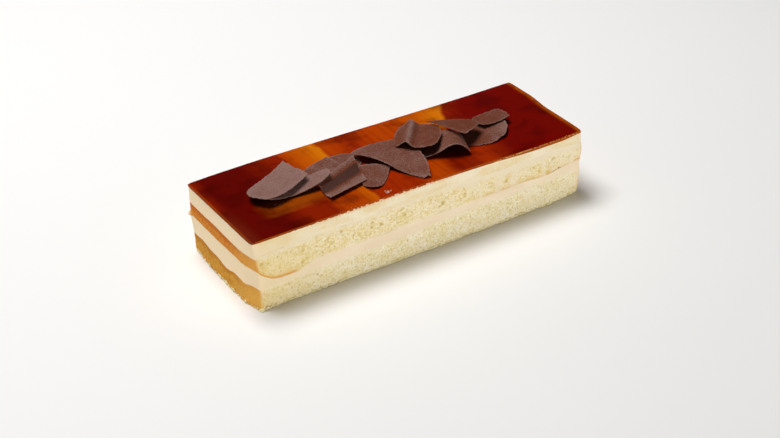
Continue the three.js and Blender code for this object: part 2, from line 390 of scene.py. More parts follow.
@dataclass(frozen=True)
class Block:
    """The bar's form: outline, lines between layers, and the unevenness of its cut sides."""

    length: float = 310.0
    width: float = 103.0
    height: float = 61.2
    glaze_thickness: float = 1.3
    lower_line: LayerLine = LayerLine(
        level=18.5,
        near=EndTurn(change=-0.5, reach=12.0, waves=(Wave(0.7, across=4.3),), dip=2.0),
        far=EndTurn(change=-0.5, reach=10.0, waves=(Wave(0.8, across=5.1, phase=1.0),)),
        rises=(Rise(5.2, -110.0, 110.0),),
        waves=(Wave(0.5, along=17.0), Wave(0.3, along=7.3, across=9.0)),
    )
    middle_line: LayerLine = LayerLine(
        level=28.2,
        near=EndTurn(change=6.0, reach=5.0),
        far=EndTurn(change=0.0, reach=5.0),
        rises=(Rise(0.9, -80.0, -30.0), Rise(3.5, 110.0, 156.0)),
        waves=(Wave(0.4, along=14.0, phase=2.0), Wave(0.3, along=6.1, across=-11.0)),
        sag=5.0,
    )
    upper_line: LayerLine = LayerLine(
        level=49.3,
        near=EndTurn(change=-4.0, reach=18.0),
        far=EndTurn(change=-1.0, reach=8.0),
        waves=(Wave(0.5, along=19.0, phase=1.0), Wave(0.4, along=8.7, across=8.0)),
    )
    fray: float = 0.55
    fray_size: float = 2.4
    top_fall: Rise = Rise(1.3, -20.0, 130.0)
    top_waves: tuple[Wave, ...] = (Wave(0.12, 29.0, -21.0, 0.5), Wave(-0.12, 29.0, 21.0))
    shoulder_near: float = 0.2
    shoulder_far: float = 0.1
    shoulder_front: float = 0.2
    shoulder_back: float = 0.3
    end_reach: float = 5.0
    front_reach: float = 3.0
    back_reach: float = 4.0
    front_lip: Rise = Rise(1.5, 60.0, 110.0)
    front_lip_end: Rise = Rise(1.0, 154.5, 132.0)
    glaze_bead: Rise = Rise(0.8, 20.0, 80.0)
    bead_reach: float = 3.0
    back_swing: Wave = Wave(1.0, along=58.0, phase=0.09)
    back_drop: float = 0.5
    back_drop_reach: float = 30.0
    back_depth: Rise = Rise(0.6, 5.0, 40.0)
    front_skirt: Skirt = Skirt(0.35, 0.65, 15.0, 85.0, (Wave(0.12, 9.0), Wave(0.08, 3.7)), 0.65)
    back_skirt: Skirt = Skirt(0.5, 0.5, -30.0, 90.0, (Wave(0.15, 11.0, phase=1.0),))
    worn: Rise = Rise(3.0, 118.0, 154.0)
    near_top: Rise = Rise(0.5, 0.0, 20.0)
    near_front: Rise = Rise(3.7, 62.0, 25.0)
    near_front_from: float = -32.0
    near_back: float = 2.6
    near_back_from: float = 10.0
    near_back_height: float = 32.0
    far_foot: float = 0.4
    far_bulge: float = 2.2
    far_bulge_at: float = 41.0
    far_bulge_spread: float = 9.0
    far_low: Rise = Rise(1.3, 32.0, 20.0)
    far_slant: Rise = Rise(2.7, -8.0, 24.0)
    corner_recess: float = 0.5
    near_front_recess: Rise = Rise(0.6, 20.0, 50.0)
    corner_reach: float = 2.0
    end_power: int = 10
    side_power: int = 6
    tear: Tear = Tear()
    cream_lip: float = 0.7
    cream_lip_reach: float = 1.0
    grain: Grain = Grain(seed=3)

    @property
    def half_x(self) -> float:
        """Half the bar's length."""
        return self.length / 2.0

    @property
    def half_y(self) -> float:
        """Half the bar's width."""
        return self.width / 2.0

    def line(self, line: LayerLine, x: Array, y: Array) -> Array:
        """Height of a line between layers: its level and rises, waves, end turns, sag and a fine fray.

        Args:
            line: Sizes of the line.
            x: Places along the bar.
            y: Places across the bar.

        Returns:
            Heights above the underside.
        """
        height = line.level + sum((rise.at(x) for rise in line.rises), np.zeros_like(x))
        height = height + sum((wave.at(x, y) for wave in line.waves), np.zeros_like(x))
        height = height + line.near.at(x + self.half_x, y) + line.far.at(self.half_x - x, y)
        sag = line.sag * bell(x, line.sag_at, line.sag_spread, power=4)
        fray = self.grain.rough(points_at(x, y, np.full_like(x, line.level)), self.fray_size)
        return height - sag * fade(y + self.half_y, line.sag_depth) + self.fray * fray

    def floor(self, x: Array, y: Array) -> Array:
        """Height of the flat underside."""
        return np.zeros_like(x)

    def lower_top(self, x: Array, y: Array) -> Array:
        """Height of the line between the lower sponge and the middle cream."""
        return self.line(self.lower_line, x, y)

    def upper_foot(self, x: Array, y: Array) -> Array:
        """Height of the line between the middle cream and the upper sponge."""
        return self.line(self.middle_line, x, y)

    def upper_top(self, x: Array, y: Array) -> Array:
        """Height of the line between the upper sponge and the top cream."""
        return self.line(self.upper_line, x, y)

    def glaze_top(self, x: Array, y: Array) -> Array:
        """Top of the glaze: it falls along the bar, swings at the back and has low shoulders and waves.

        Args:
            x: Places along the bar.
            y: Places across the bar.

        Returns:
            Heights above the underside.
        """
        near = self.shoulder_near * fade(x + self.half_x, self.end_reach)
        far = self.shoulder_far * fade(self.half_x - x, self.end_reach)
        lip = self.shoulder_front + self.front_lip.at(x) * self.front_lip_end.at(x)
        front = lip * fade(y + self.half_y, self.front_reach)
        back = self.shoulder_back * fade(self.half_y - y, self.back_reach)
        swing = self.back_swing.at(x, np.zeros_like(y)) * fade(self.half_y - y, self.back_drop_reach)
        waves = sum((wave.at(x, y) for wave in self.top_waves), np.zeros_like(x))
        shoulders = self.top_fall.at(x) + near + far + front + back
        return self.height - shoulders - self.back_drop * swing + waves

    def glaze_foot(self, x: Array, y: Array) -> Array:
        """Underside of the glaze, with a thicker bead along the far part of the front edge."""
        bead = self.glaze_bead.at(x) * fade(y + self.half_y, self.bead_reach)
        return self.glaze_top(x, y) - self.glaze_thickness - bead

    def cream_top(self, x: Array, y: Array) -> Array:
        """Top of the top cream: the glaze's underside, with a lip behind the torn front edge."""
        lip = self.cream_lip * self.tear.at(x) * fade(y + self.half_y, self.cream_lip_reach)
        return self.glaze_foot(x, y) + lip

    def front_stand(self, x: Array, z: Array) -> Array:
        """How far the front stands out: a skirt of uneven depth, less the worn far corner."""
        return self.front_skirt.at(x, z) - self.worn.at(x) * fade(z, self.front_skirt.height)

    def back_stand(self, x: Array, z: Array) -> Array:
        """How far the back stands out: a skirt of uneven depth, less a slow swing above it."""
        swing = self.back_swing.at(x, np.zeros_like(x)) * self.back_depth.at(z)
        return np.minimum(self.back_skirt.bulge, self.back_skirt.at(x, z) - swing)

    def near_stand(self, y: Array, z: Array) -> Array:
        """How far the near end stands out: its foot most, and less towards both upright corners.

        Args:
            y: Places across the bar.
            z: Heights.

        Returns:
            Distances outwards.
        """
        front = self.near_front.at(z) * smooth(self.near_front_from, -self.half_y, y)
        back = self.near_back * np.maximum(0.0, 1.0 - z / self.near_back_height)
        back = back * smooth(self.near_back_from, self.half_y, y)
        return -self.near_top.at(z) - front - back

    def far_stand(self, y: Array, z: Array) -> Array:
        """How far the far end stands out: a slanting cut, a bulge at the upper sponge and a worn foot.

        Args:
            y: Places across the bar.
            z: Heights.

        Returns:
            Distances outwards.
        """
        bulge = self.far_bulge * bell(z, self.far_bulge_at, self.far_bulge_spread) + self.far_low.at(z)
        foot = self.far_foot * fade(z, self.front_skirt.height)
        return np.minimum(0.0, bulge + self.far_slant.at(y) - self.far_slant.amount) - foot

    def place(self, u: Array, v: Array, z: Array) -> Array:
        """Point of the bar: the plan share times half the size, plus the side's stand near a side.

        Args:
            u: Shares along the bar, from -1 to 1.
            v: Shares across the bar, from -1 to 1.
            z: Heights.

        Returns:
            Points in millimetres.
        """
        x = u * self.half_x
        y = v * self.half_y
        recess = self.corner_recess + self.near_front_recess.at(z) * ((u < 0.0) & (v < 0.0))
        corner_x = recess * fade(self.half_y - np.abs(y), self.corner_reach)
        corner_y = recess * fade(self.half_x - np.abs(x), self.corner_reach)
        out_x = np.where(u < 0.0, self.near_stand(y, z), self.far_stand(y, z)) - corner_x
        out_y = np.where(v < 0.0, self.front_stand(x, z), self.back_stand(x, z)) - corner_y
        along = x + np.sign(u) * np.abs(u) ** self.end_power * out_x
        across = y + np.sign(v) * np.abs(v) ** self.side_power * out_y
        return points_at(along, across, z)

    def outline(self, step: float) -> tuple[Array, Array]:
        """Plan shares of points round the bar, anticlockwise seen from above from the near front corner.

        Args:
            step: Spacing of the points.

        Returns:
            Shares along and across the bar.
        """
        along = np.linspace(-1.0, 1.0, round(self.length / step), endpoint=False)
        across = np.linspace(-1.0, 1.0, round(self.width / step), endpoint=False)
        u = np.concatenate([along, np.ones_like(across), -along, -np.ones_like(across)])
        v = np.concatenate([-np.ones_like(along), across, np.ones_like(along), -across])
        return u, v


class Reading:
    """A shader output that joins in Python arithmetic: each operator adds one Math node."""

    def __init__(self, bench: "Bench", socket: bpy.types.NodeSocket) -> None:
        """Keeps the output and the bench that new nodes go on."""
        self.bench = bench
        self.socket = socket

    def combine(self, operation: str, first: Any, second: Any) -> "Reading":
        """Adds a Math node with that operation on two inputs."""
        return self.bench.node("ShaderNodeMath", {"operation": operation}, {0: first, 1: second})

    def __add__(self, other: Any) -> "Reading":
        """This plus another."""
        return self.combine("ADD", self, other)

    def __radd__(self, other: Any) -> "Reading":
        """Another plus this."""
        return self.combine("ADD", other, self)

    def __sub__(self, other: Any) -> "Reading":
        """This less another."""
        return self.combine("SUBTRACT", self, other)

    def __rsub__(self, other: Any) -> "Reading":
        """Another less this."""
        return self.combine("SUBTRACT", other, self)

    def __mul__(self, other: Any) -> "Reading":
        """This times another."""
        return self.combine("MULTIPLY", self, other)

    def __rmul__(self, other: Any) -> "Reading":
        """Another times this."""
        return self.combine("MULTIPLY", other, self)

    def __truediv__(self, other: Any) -> "Reading":
        """This over another."""
        return self.combine("DIVIDE", self, other)


@dataclass(frozen=True)
class Cloud:
    """Soft noise of a finish: the size of its patches, its finer layers and a shift of its own."""

    spans: Spans
    detail: float = 2.0
    shift: float = 0.0


class Bench:
    """Builds one material's nodes."""

    def __init__(self, name: str) -> None:
        """Starts an empty material.

        Args:
            name: The material's name.
        """
        self.material = bpy.data.materials.new(name)
        self.material.use_nodes = True
        self.tree = self.material.node_tree
        self.tree.nodes.clear()

    def node(
        self,
        kind: str,
        settings: dict[str, Any] | None = None,
        sockets: dict[int | str, Any] | None = None,
        output: int | str = 0,
    ) -> Reading:
        """Adds a node of any type: its settings first, then the values or links of its sockets.

        Args:
            kind: The node's type.
            settings: The node's settings; stops are a ramp's places and colours.
            sockets: Inputs by index or name.
            output: The output to return.

        Returns:
            That output.
        """
        made = self.tree.nodes.new(kind)
        for key, setting in (settings or {}).items():
            if key == "stops":
                self.set_stops(made.color_ramp, setting)
            else:
                setattr(made, key, setting)
        for key, given in (sockets or {}).items():
            if isinstance(given, Reading):
                self.tree.links.new(given.socket, made.inputs[key])
            else:
                made.inputs[key].default_value = given
        return Reading(self, made.outputs[output]) if made.outputs else Reading(self, made.inputs[0])

    @staticmethod
    def set_stops(ramp: bpy.types.ColorRamp, stops: list[Stop]) -> None:
        """Gives a ramp its places and colours.

        Args:
            ramp: The ramp.
            stops: Places from 0 to 1 with their colours, in rising order.
        """
        while len(ramp.elements) < len(stops):
            ramp.elements.new(1.0)
        for element, (position, tint) in zip(ramp.elements, stops):
            element.position = position
            element.color = tint

    def vector(self, operation: str, first: Any, second: Any) -> Reading:
        """Adds a Vector Math node with that operation on two inputs."""
        return self.node("ShaderNodeVectorMath", {"operation": operation}, {0: first, 1: second})

    def place(self, spans: Spans = (1.0, 1.0, 1.0)) -> Reading:
        """Object coordinates, counted in spans.

        Args:
            spans: Length of a span along each axis, in millimetres.

        Returns:
            The scaled coordinates.
        """
        coordinates = self.node("ShaderNodeTexCoord", output="Object")
        scale = tuple(1.0 / (METRES * span) for span in spans)
        return self.vector("MULTIPLY", coordinates, scale)

    def along(self, axis: Axis) -> Reading:
        """One object coordinate in millimetres."""
        return self.node("ShaderNodeSeparateXYZ", None, {0: self.place()}, axis.value)

    def noise(self, cloud: Cloud) -> Reading:
        """Soft noise over the object coordinates.

        Args:
            cloud: Its patches, finer layers and shift.

        Returns:
            Numbers from 0 to 1.
        """
        moved = self.vector("ADD", self.place(cloud.spans), (cloud.shift,) * 3)
        sockets = {"Vector": moved, "Scale": 1.0, "Detail": cloud.detail}
        return self.node("ShaderNodeTexNoise", None, sockets, "Fac")

    def step(self, reading: Reading, start: float, end: float) -> Reading:
        """S-curve of a reading, from 0 at start to 1 at end."""
        settings = {"interpolation_type": "SMOOTHSTEP"}
        return self.node("ShaderNodeMapRange", settings, {0: reading, 1: start, 2: end})

    def mix(self, share: Any, first: Any, second: Any) -> Reading:
        """Blends two colours: the first at share 0, the second at share 1."""
        return self.node("ShaderNodeMix", {"data_type": "RGBA"}, {0: share, 6: first, 7: second}, 2)

    def mark(self, mark: Mark) -> Reading:
        """A number that the mesh carries at its points."""
        return self.node("ShaderNodeAttribute", {"attribute_name": mark.value}, None, "Fac")

    def bump(self, height: Reading, depth: float, share: float = 1.0) -> Reading:
        """Fine relief: a height of 1 is worth a depth in millimetres, and a share of it shows."""
        sockets = {"Strength": share, "Distance": depth * METRES, "Height": height}
        return self.node("ShaderNodeBump", None, sockets, "Normal")

    def finish(
        self, tint: Reading, roughness: float, specular: float, relief: Reading | None = None
    ) -> bpy.types.Material:
        """Ends the material with a surface shader.

        Args:
            tint: Its colour.
            roughness: How dull it is, from 0 to 1.
            specular: How much it reflects, from 0 to 1.
            relief: Its bent surface direction, if it has fine relief.

        Returns:
            The material.
        """
        sockets = {"Base Color": tint, "Roughness": roughness, "Specular IOR Level": specular}
        if relief is not None:
            sockets["Normal"] = relief
        shader = self.node("ShaderNodeBsdfPrincipled", None, sockets, "BSDF")
        self.node("ShaderNodeOutputMaterial", None, {"Surface": shader})
        return self.material


class Finish(ABC):
    """A finish that can be put on a piece."""

    @abstractmethod
    def material(self) -> bpy.types.Material:
        """Builds the material."""


@dataclass(frozen=True)
class SpongeFinish(Finish):
    """Open crumb: pale, with painted shade in its pores, browned where milk soaked in and painted lighter
    towards the front, smeared with cream.
    """

    name: str
    soaked_light: Tint
    soaked_dark: Tint
    pale: Tint = screen(253, 239, 207)
    warm: Tint = screen(236, 212, 140)
    gold: Tint = screen(236, 209, 136)
    amber: Tint = screen(232, 184, 98)
    # lit_corner_tint: painted light on the soaked ends towards their front corners
    lit_corner_tint: Tint = screen(240, 182, 88)
    # hollow: painted shade inside the pores
    hollow: Tint = screen(208, 180, 88)
    cream: Tint = screen(246, 230, 198)
    patches: Cloud = Cloud((9.0, 9.0, 7.0), 3.0)
    fine: Cloud = Cloud((1.3, 1.3, 1.3), 2.0, 7.0)
    patch_share: float = 0.3
    blend: Span = (0.39, 0.63)
    gold_along: Span = (-70.0, -150.0)
    gold_share: float = 0.45
    drag: Cloud = Cloud((2.0, 2.0, 24.0), 3.0, 33.0)
    drag_blend: Span = (0.46, 0.7)
    drag_along: Span = (0.0, 60.0)
    drag_share: float = 0.45
    streaks: Cloud = Cloud((3.2, 2.6, 1.7), 3.0, 21.0)
    streak_blend: Span = (0.34, 0.78)
    fringe_share: float = 0.4
    lit_corner_across: Span = (-8.0, -50.0)
    lit_corner_wander: float = 14.0
    lit_corner_share: float = 0.6
    full_soak: Span = (0.55, 0.9)
    relief: Cloud = Cloud((0.5, 0.5, 0.5), 2.0, 3.0)
    relief_depth: float = 0.35
    relief_share: float = 0.8
    roughness: float = 0.85
    specular: float = 0.15

    def crumb(self, bench: Bench, x: Reading, patch: Reading) -> Reading:
        """Mixes pale and warm crumb by noise, gold towards the near end, painted shade in the pores by
        their depth, and drag marks.

        Args:
            bench: The material's bench.
            x: Places along the bar.
            patch: Broad noise.

        Returns:
            The colour of dry crumb.
        """
        blend = self.patch_share * patch + (1.0 - self.patch_share) * bench.noise(self.fine)
        tint = bench.mix(bench.step(blend, *self.blend), self.pale, self.warm)
        tint = bench.mix(self.gold_share * bench.step(x, *self.gold_along), tint, self.gold)
        # Painted shade: the crumb turns to the darker hollow colour inside the pores
        tint = bench.mix(bench.mark(Mark.PORE), tint, self.hollow)
        drag = bench.step(bench.noise(self.drag), *self.drag_blend)
        return bench.mix(self.drag_share * drag * bench.step(x, *self.drag_along), tint, self.cream)

    def material(self) -> bpy.types.Material:
        """Lays soaked crumb over dry crumb by its soak, painted lighter at the front corners where light
        falls, and cream over both.

        Returns:
            The material.
        """
        bench = Bench(self.name)
        patch = bench.noise(self.patches)
        crumb = self.crumb(bench, bench.along(Axis.X), patch)
        streak = bench.noise(self.streaks) + self.fringe_share * bench.mark(Mark.FRINGE)
        soaked = bench.mix(bench.step(streak, *self.streak_blend), self.soaked_light, self.soaked_dark)
        # Painted light: soaked crumb turns brighter towards the front of each end
        across = bench.along(Axis.Y) + self.lit_corner_wander * (patch - MIDDLE)
        corner = bench.step(across, *self.lit_corner_across)
        soaked = bench.mix(self.lit_corner_share * corner, soaked, self.lit_corner_tint)
        soak = bench.mark(Mark.SOAK)
        soaked = bench.mix(bench.step(soak, *self.full_soak), self.amber, soaked)
        tint = bench.mix(soak, crumb, soaked)
        tint = bench.mix(bench.mark(Mark.SMEAR), tint, self.cream)
        relief = bench.bump(bench.noise(self.relief), self.relief_depth, self.relief_share)
        return bench.finish(tint, self.roughness, self.specular, relief)


@dataclass(frozen=True)
class CreamFinish(Finish):
    """Whipped cream: pale and smooth, with faint upright drag marks, and painted shade that makes it darker
    and warmer on the ends.
    """

    name: str
    light: Tint
    warm: Tint
    crumbed: float = 0.0
    stained: float = 0.0
    # end: painted shade on the end faces
    end: Tint = screen(244, 220, 182)
    gold: Tint = screen(240, 216, 166)
    crumb: Tint = screen(238, 210, 140)
    stain: Tint = screen(222, 150, 96)
    drag: Cloud = Cloud((2.6, 2.6, 26.0), 3.0)
    patches: Cloud = Cloud((24.0, 24.0, 9.0), 2.0, 11.0)
    drag_share: float = 0.15
    blend: Span = (0.36, 0.66)
    gold_along: Span = (-70.0, -150.0)
    gold_share: float = 0.6
    specks: Cloud = Cloud((1.5, 1.5, 2.4), 3.0, 27.0)
    speck_share: float = 0.5
    speck_blend: Span = (0.48, 0.62)
    fringe: Cloud = Cloud((0.9, 0.9, 4.0), 2.0, 37.0)
    stain_near: Span = (-110.0, -80.0)
    stain_far: Span = (50.0, 20.0)
    stain_height: Span = (57.4, 60.2)
    stain_wander: float = 5.0
    end_shade_along: Span = (146.5, 153.5)
    end_shade_wander: float = 3.0
    end_shade_share: float = 0.8
    relief: Cloud = Cloud((1.2, 1.2, 7.0), 2.0, 5.0)
    relief_depth: float = 0.2
    relief_share: float = 0.3
    roughness: float = 0.55
    specular: float = 0.25

    def material(self) -> bpy.types.Material:
        """Mixes two pale creams by patches and upright drag marks, with crumb specks, caramel stain and
        painted shade on the ends.

        Returns:
            The material.
        """
        bench = Bench(self.name)
        x = bench.along(Axis.X)
        patch = bench.noise(self.patches)
        blend = self.drag_share * bench.noise(self.drag) + (1.0 - self.drag_share) * patch
        tint = bench.mix(bench.step(blend, *self.blend), self.light, self.warm)
        tint = bench.mix(self.gold_share * bench.step(x, *self.gold_along), tint, self.gold)
        speck = self.speck_share * bench.noise(self.specks) + (1.0 - self.speck_share) * patch
        tint = bench.mix(self.crumbed * bench.step(speck, *self.speck_blend), tint, self.crumb)
        torn = bench.step(x, *self.stain_near) * bench.step(x, *self.stain_far)
        height = bench.along(Axis.Z) + self.stain_wander * (bench.noise(self.fringe) - MIDDLE)
        tint = bench.mix(self.stained * torn * bench.step(height, *self.stain_height), tint, self.stain)
        # Painted shade: the cream turns to the darker end colour near both ends
        gap = bench.node("ShaderNodeMath", {"operation": "ABSOLUTE"}, {0: x})
        dull = bench.step(gap + self.end_shade_wander * (patch - MIDDLE), *self.end_shade_along)
        tint = bench.mix(self.end_shade_share * dull, tint, self.end)
        relief = bench.bump(bench.noise(self.relief), self.relief_depth, self.relief_share)
        return bench.finish(tint, self.roughness, self.specular, relief)


@dataclass(frozen=True)
class GlazeFinish(Finish):
    """Wet caramel: maroon at the ends, amber and orange in broad bands between them."""

    name: str = "caramel_glaze"
    deep: Tint = screen(62, 1, 0)
    maroon: Tint = screen(93, 5, 0)
    crimson: Tint = screen(110, 5, 0)
    rust: Tint = screen(133, 28, 0)
    red: Tint = screen(156, 40, 0)
    orange: Tint = screen(176, 62, 0)
    amber: Tint = screen(192, 88, 2)
    honey: Tint = screen(210, 115, 6)
    brown: Tint = screen(148, 66, 4)
    # painted_sheen_tint: painted reflection along the rounded near edge
    painted_sheen_tint: Tint = screen(112, 38, 18)
    glow: Tint = screen(180, 86, 8)
    rim: Tint = screen(176, 84, 18)
    seam: Tint = screen(172, 86, 22)
    # lip: painted highlight on the rounded front lip
    lip: Tint = screen(232, 168, 96)
    half_x: float = 154.5
    half_y: float = 51.5
    wander: Cloud = Cloud((9.0, 26.0, 9.0), 3.0)
    wander_reach: float = 3.0
    drift: Cloud = Cloud((60.0, 11.0, 60.0), 2.0, 61.0)
    drift_reach: float = 7.0
    slant: float = 0.5
    slant_from: float = 45.0
    slant_along: Span = (30.0, 60.0)
    row_across: Span = (-12.0, 14.0)
    row_wander: float = 3.0
    row_shift: float = 14.0
    row_along: Span = (25.0, 50.0)
    brown_near: Span = (-134.0, -112.0)
    brown_far: Span = (-70.0, -78.0)
    brown_front: Span = (-32.0, -22.0)
    brown_back: Span = (-2.0, -12.0)
    brown_wander: float = 2.0
    brown_share: float = 0.85
    clouds: Cloud = Cloud((26.0, 20.0, 20.0), 3.0, 17.0)
    cloud_blend: Span = (0.46, 0.68)
    cloud_share: float = 0.5
    streaks: Cloud = Cloud((3.5, 60.0, 20.0), 2.0, 31.0)
    streak_blend: Span = (0.44, 0.7)
    streak_share: float = 0.22
    sheen_along: Span = (-141.0, -153.0)
    sheen_across: Span = (8.0, -34.0)
    sheen_share: float = 0.5
    near_rim: Span = (2.2, 0.4)
    near_share: float = 0.3
    far_front: float = 152.4
    far_back: float = 155.0
    far_across: Span = (-8.0, 24.0)
    glow_patches: Cloud = Cloud((14.0, 9.0, 14.0), 2.0, 23.0)
    glow_blend: Span = (0.3, 0.6)
    glow_reach: Span = (6.0, 0.5)
    glow_least: float = 0.4
    glow_more: float = 0.45
    front_rim: Span = (0.9, -0.2)
    front_share: float = 0.7
    bead_along: Span = (20.0, 70.0)
    bead_level: float = 59.1
    seam_height: Span = (-1.0, -1.6)
    highlight_foot: Span = (-1.3, -0.8)
    highlight_head: Span = (0.0, -0.5)
    highlight_dashes: Cloud = Cloud((1.6, 8.0, 8.0), 2.0, 51.0)
    dash_blend: Span = (0.42, 0.62)
    highlight_share: float = 0.8
    relief: Cloud = Cloud((14.0, 20.0, 14.0), 2.0, 41.0)
    relief_depth: float = 0.3
    relief_share: float = 0.3
    roughness: float = 0.12
    specular: float = 0.04

    @property
    def back_bands(self) -> list[Stop]:
        """Places along the back of the top with their colours."""
        return [
            (-154.0, self.rust), (-146.0, self.maroon), (-112.0, self.maroon), (-84.0, self.rust),
            (-75.5, self.rust), (-73.5, self.orange), (-56.0, self.amber), (-43.6, self.honey),
            (-41.4, self.orange), (-16.0, self.red), (10.0, self.orange), (30.0, self.orange),
            (56.0, self.amber), (77.0, self.honey), (80.5, self.rust), (98.0, self.crimson),
            (154.0, self.crimson),
        ]

    @property
    def front_bands(self) -> list[Stop]:
        """Places along the front of the top with their colours."""
        return [
            (-154.0, self.maroon), (-116.0, self.maroon), (-98.0, self.rust), (-78.0, self.rust),
            (-70.0, self.orange), (-54.0, self.orange), (-43.6, self.amber), (-41.0, self.red),
            (-4.0, self.red), (14.0, self.orange), (24.0, self.orange), (34.0, self.rust),
            (50.0, self.rust), (58.0, self.red), (66.0, self.red), (76.0, self.rust),
            (90.0, self.crimson), (154.0, self.crimson),
        ]

    def bands(self, bench: Bench, x: Reading, stops: list[Stop]) -> Reading:
        """Colours along the bar by a ramp whose stops are given as places along it.

        Args:
            bench: The material's bench.
            x: Places along the bar.
            stops: Places along the bar with their colours, in rising order.

        Returns:
            The colour.
        """
        share = (x + self.half_x) / (2.0 * self.half_x)
        placed = [((at + self.half_x) / (2.0 * self.half_x), tint) for at, tint in stops]
        return bench.node("ShaderNodeValToRGB", {"stops": placed}, {0: share}, "Color")

    def pool(self, bench: Bench, x: Reading, y: Reading) -> Reading:
        """Mixes a back and a front row of bands, a brown patch, dark clouds and faint streaks.

        Args:
            bench: The material's bench.
            x: Places along the bar.
            y: Places across the bar.

        Returns:
            The colour of the top inside its edges.
        """
        wander = self.wander_reach * (bench.noise(self.wander) - MIDDLE)
        wander = wander + self.drift_reach * (bench.noise(self.drift) - MIDDLE)
        slant = self.slant * bench.step(x, *self.slant_along) * (self.slant_from - y)
        back = self.bands(bench, x + wander + slant, self.back_bands)
        front = self.bands(bench, x + wander, self.front_bands)
        behind = y + self.row_wander * wander - self.row_shift * bench.step(x, *self.row_along)
        tint = bench.mix(bench.step(behind, *self.row_across), front, back)
        patch = bench.step(x + wander, *self.brown_near) * bench.step(x + wander, *self.brown_far)
        patch = patch * bench.step(y + self.brown_wander * wander, *self.brown_front)
        patch = patch * bench.step(y + wander, *self.brown_back)
        tint = bench.mix(self.brown_share * patch, tint, self.brown)
        cloud = bench.step(bench.noise(self.clouds), *self.cloud_blend)
        tint = bench.mix(self.cloud_share * cloud, tint, self.deep)
        streak = bench.step(bench.noise(self.streaks), *self.streak_blend)
        return bench.mix(self.streak_share * streak, tint, self.maroon)

    def end_edges(self, bench: Bench, x: Reading, y: Reading, tint: Reading) -> Reading:
        """Lays a dull painted sheen and a thin rim along the near edge and a patchy glow inside the far
        edge.

        Args:
            bench: The material's bench.
            x: Places along the bar.
            y: Places across the bar.
            tint: The colour inside the edges.

        Returns:
            The colour with both ends edged.
        """
        # Painted sheen: a reflection along the near edge, laid into the colour
        sheen = bench.step(x, *self.sheen_along) * bench.step(y, *self.sheen_across)
        tint = bench.mix(self.sheen_share * sheen, tint, self.painted_sheen_tint)
        near = bench.step(x + self.half_x, *self.near_rim)
        tint = bench.mix(self.near_share * near, tint, self.rim)
        far_edge = self.far_front + (self.far_back - self.far_front) * bench.step(y, *self.far_across)
        patchy = bench.step(bench.noise(self.glow_patches), *self.glow_blend)
        glow = (self.glow_least + self.glow_more * patchy) * bench.step(far_edge - x, *self.glow_reach)
        return bench.mix(glow, tint, self.glow)

    def front_edge(self, bench: Bench, x: Reading, y: Reading, tint: Reading) -> Reading:
        """Lays a rim along the front edge, with a seam and a dashed painted highlight on the lip along its
        far part.

        Args:
            bench: The material's bench.
            x: Places along the bar.
            y: Places across the bar.
            tint: The colour behind the edge.

        Returns:
            The colour with its front edged.
        """
        front = bench.step(y + self.half_y, *self.front_rim)
        tint = bench.mix(self.front_share * front, tint, self.rim)
        bead = front * bench.step(x, *self.bead_along)
        height = bench.along(Axis.Z) - self.bead_level
        tint = bench.mix(bead * bench.step(height, *self.seam_height), tint, self.seam)
        # Painted highlight: pale dashes where the lip's top rounds over
        shine = bench.step(height, *self.highlight_foot) * bench.step(height, *self.highlight_head)
        dashes = bench.step(bench.noise(self.highlight_dashes), *self.dash_blend)
        return bench.mix(self.highlight_share * bead * shine * dashes, tint, self.lip)

    def material(self) -> bpy.types.Material:
        """Puts the edges round the coloured pool and a soft relief over all of it.

        Returns:
            The material.
        """
        bench = Bench(self.name)
        x = bench.along(Axis.X)
        y = bench.along(Axis.Y)
        tint = self.end_edges(bench, x, y, self.pool(bench, x, y))
        tint = self.front_edge(bench, x, y, tint)
        relief = bench.bump(bench.noise(self.relief), self.relief_depth, self.relief_share)
        return bench.finish(tint, self.roughness, self.specular, relief)


@dataclass(frozen=True)
class ChocolateFinish(Finish):
    """Matte milk chocolate: warm brown with a grey mauve bloom, partly real and partly painted sheen where
    a piece faces the light, and a fine drag grain.
    """

    name: str = "milk_chocolate"
    # dark: painted shade, where a piece's mark falls below zero
    dark: Tint = screen(70, 38, 26)
    brown: Tint = screen(105, 50, 27)
    mauve: Tint = screen(140, 106, 97)
    drag_scale: Spans = (0.25, 1.6, 1.0)
    drag_detail: float = 4.0
    patches: Cloud = Cloud((11.0, 11.0, 11.0), 3.0)
    dust: Cloud = Cloud((0.9, 0.9, 0.9), 3.0, 13.0)
    patch_share: float = 0.7
    drag_share: float = 0.5
    dust_share: float = 1.9
    blend: Span = (0.0, 1.0)
    shade: Span = (0.0, -0.7)
    dust_relief: float = 0.7
    relief_depth: float = 1.0
    roughness: float = 0.6
    specular: float = 0.15

    def material(self) -> bpy.types.Material:
        """Mixes dark, brown and mauve by the piece's bloom and painted light and by noise, with grain along
        the sheet.

        Returns:
            The material.
        """
        bench = Bench(self.name)
        lie = bench.node("ShaderNodeUVMap", {"uv_map": Shaving.lie}, None, "UV")
        stretched = bench.vector("MULTIPLY", lie, self.drag_scale)
        sockets = {"Vector": stretched, "Scale": 1.0, "Detail": self.drag_detail}
        drag = bench.node("ShaderNodeTexNoise", None, sockets, "Fac")
        patch = bench.noise(self.patches)
        dust = bench.noise(self.dust)
        bloom_and_painted_light = bench.mark(Mark.BLOOM_AND_PAINTED_LIGHT)
        share = bloom_and_painted_light + self.patch_share * (patch - MIDDLE) + self.drag_share * (drag - MIDDLE)
        share = share + self.dust_share * (dust - MIDDLE)
        tint = bench.mix(bench.step(share, *self.blend), self.brown, self.mauve)
        # Painted shade: the chocolate darkens where the mark falls below zero
        tint = bench.mix(bench.step(bloom_and_painted_light, *self.shade), tint, self.dark)
        height = self.dust_relief * dust + (1.0 - self.dust_relief) * drag
        return bench.finish(tint, self.roughness, self.specular, bench.bump(height, self.relief_depth))


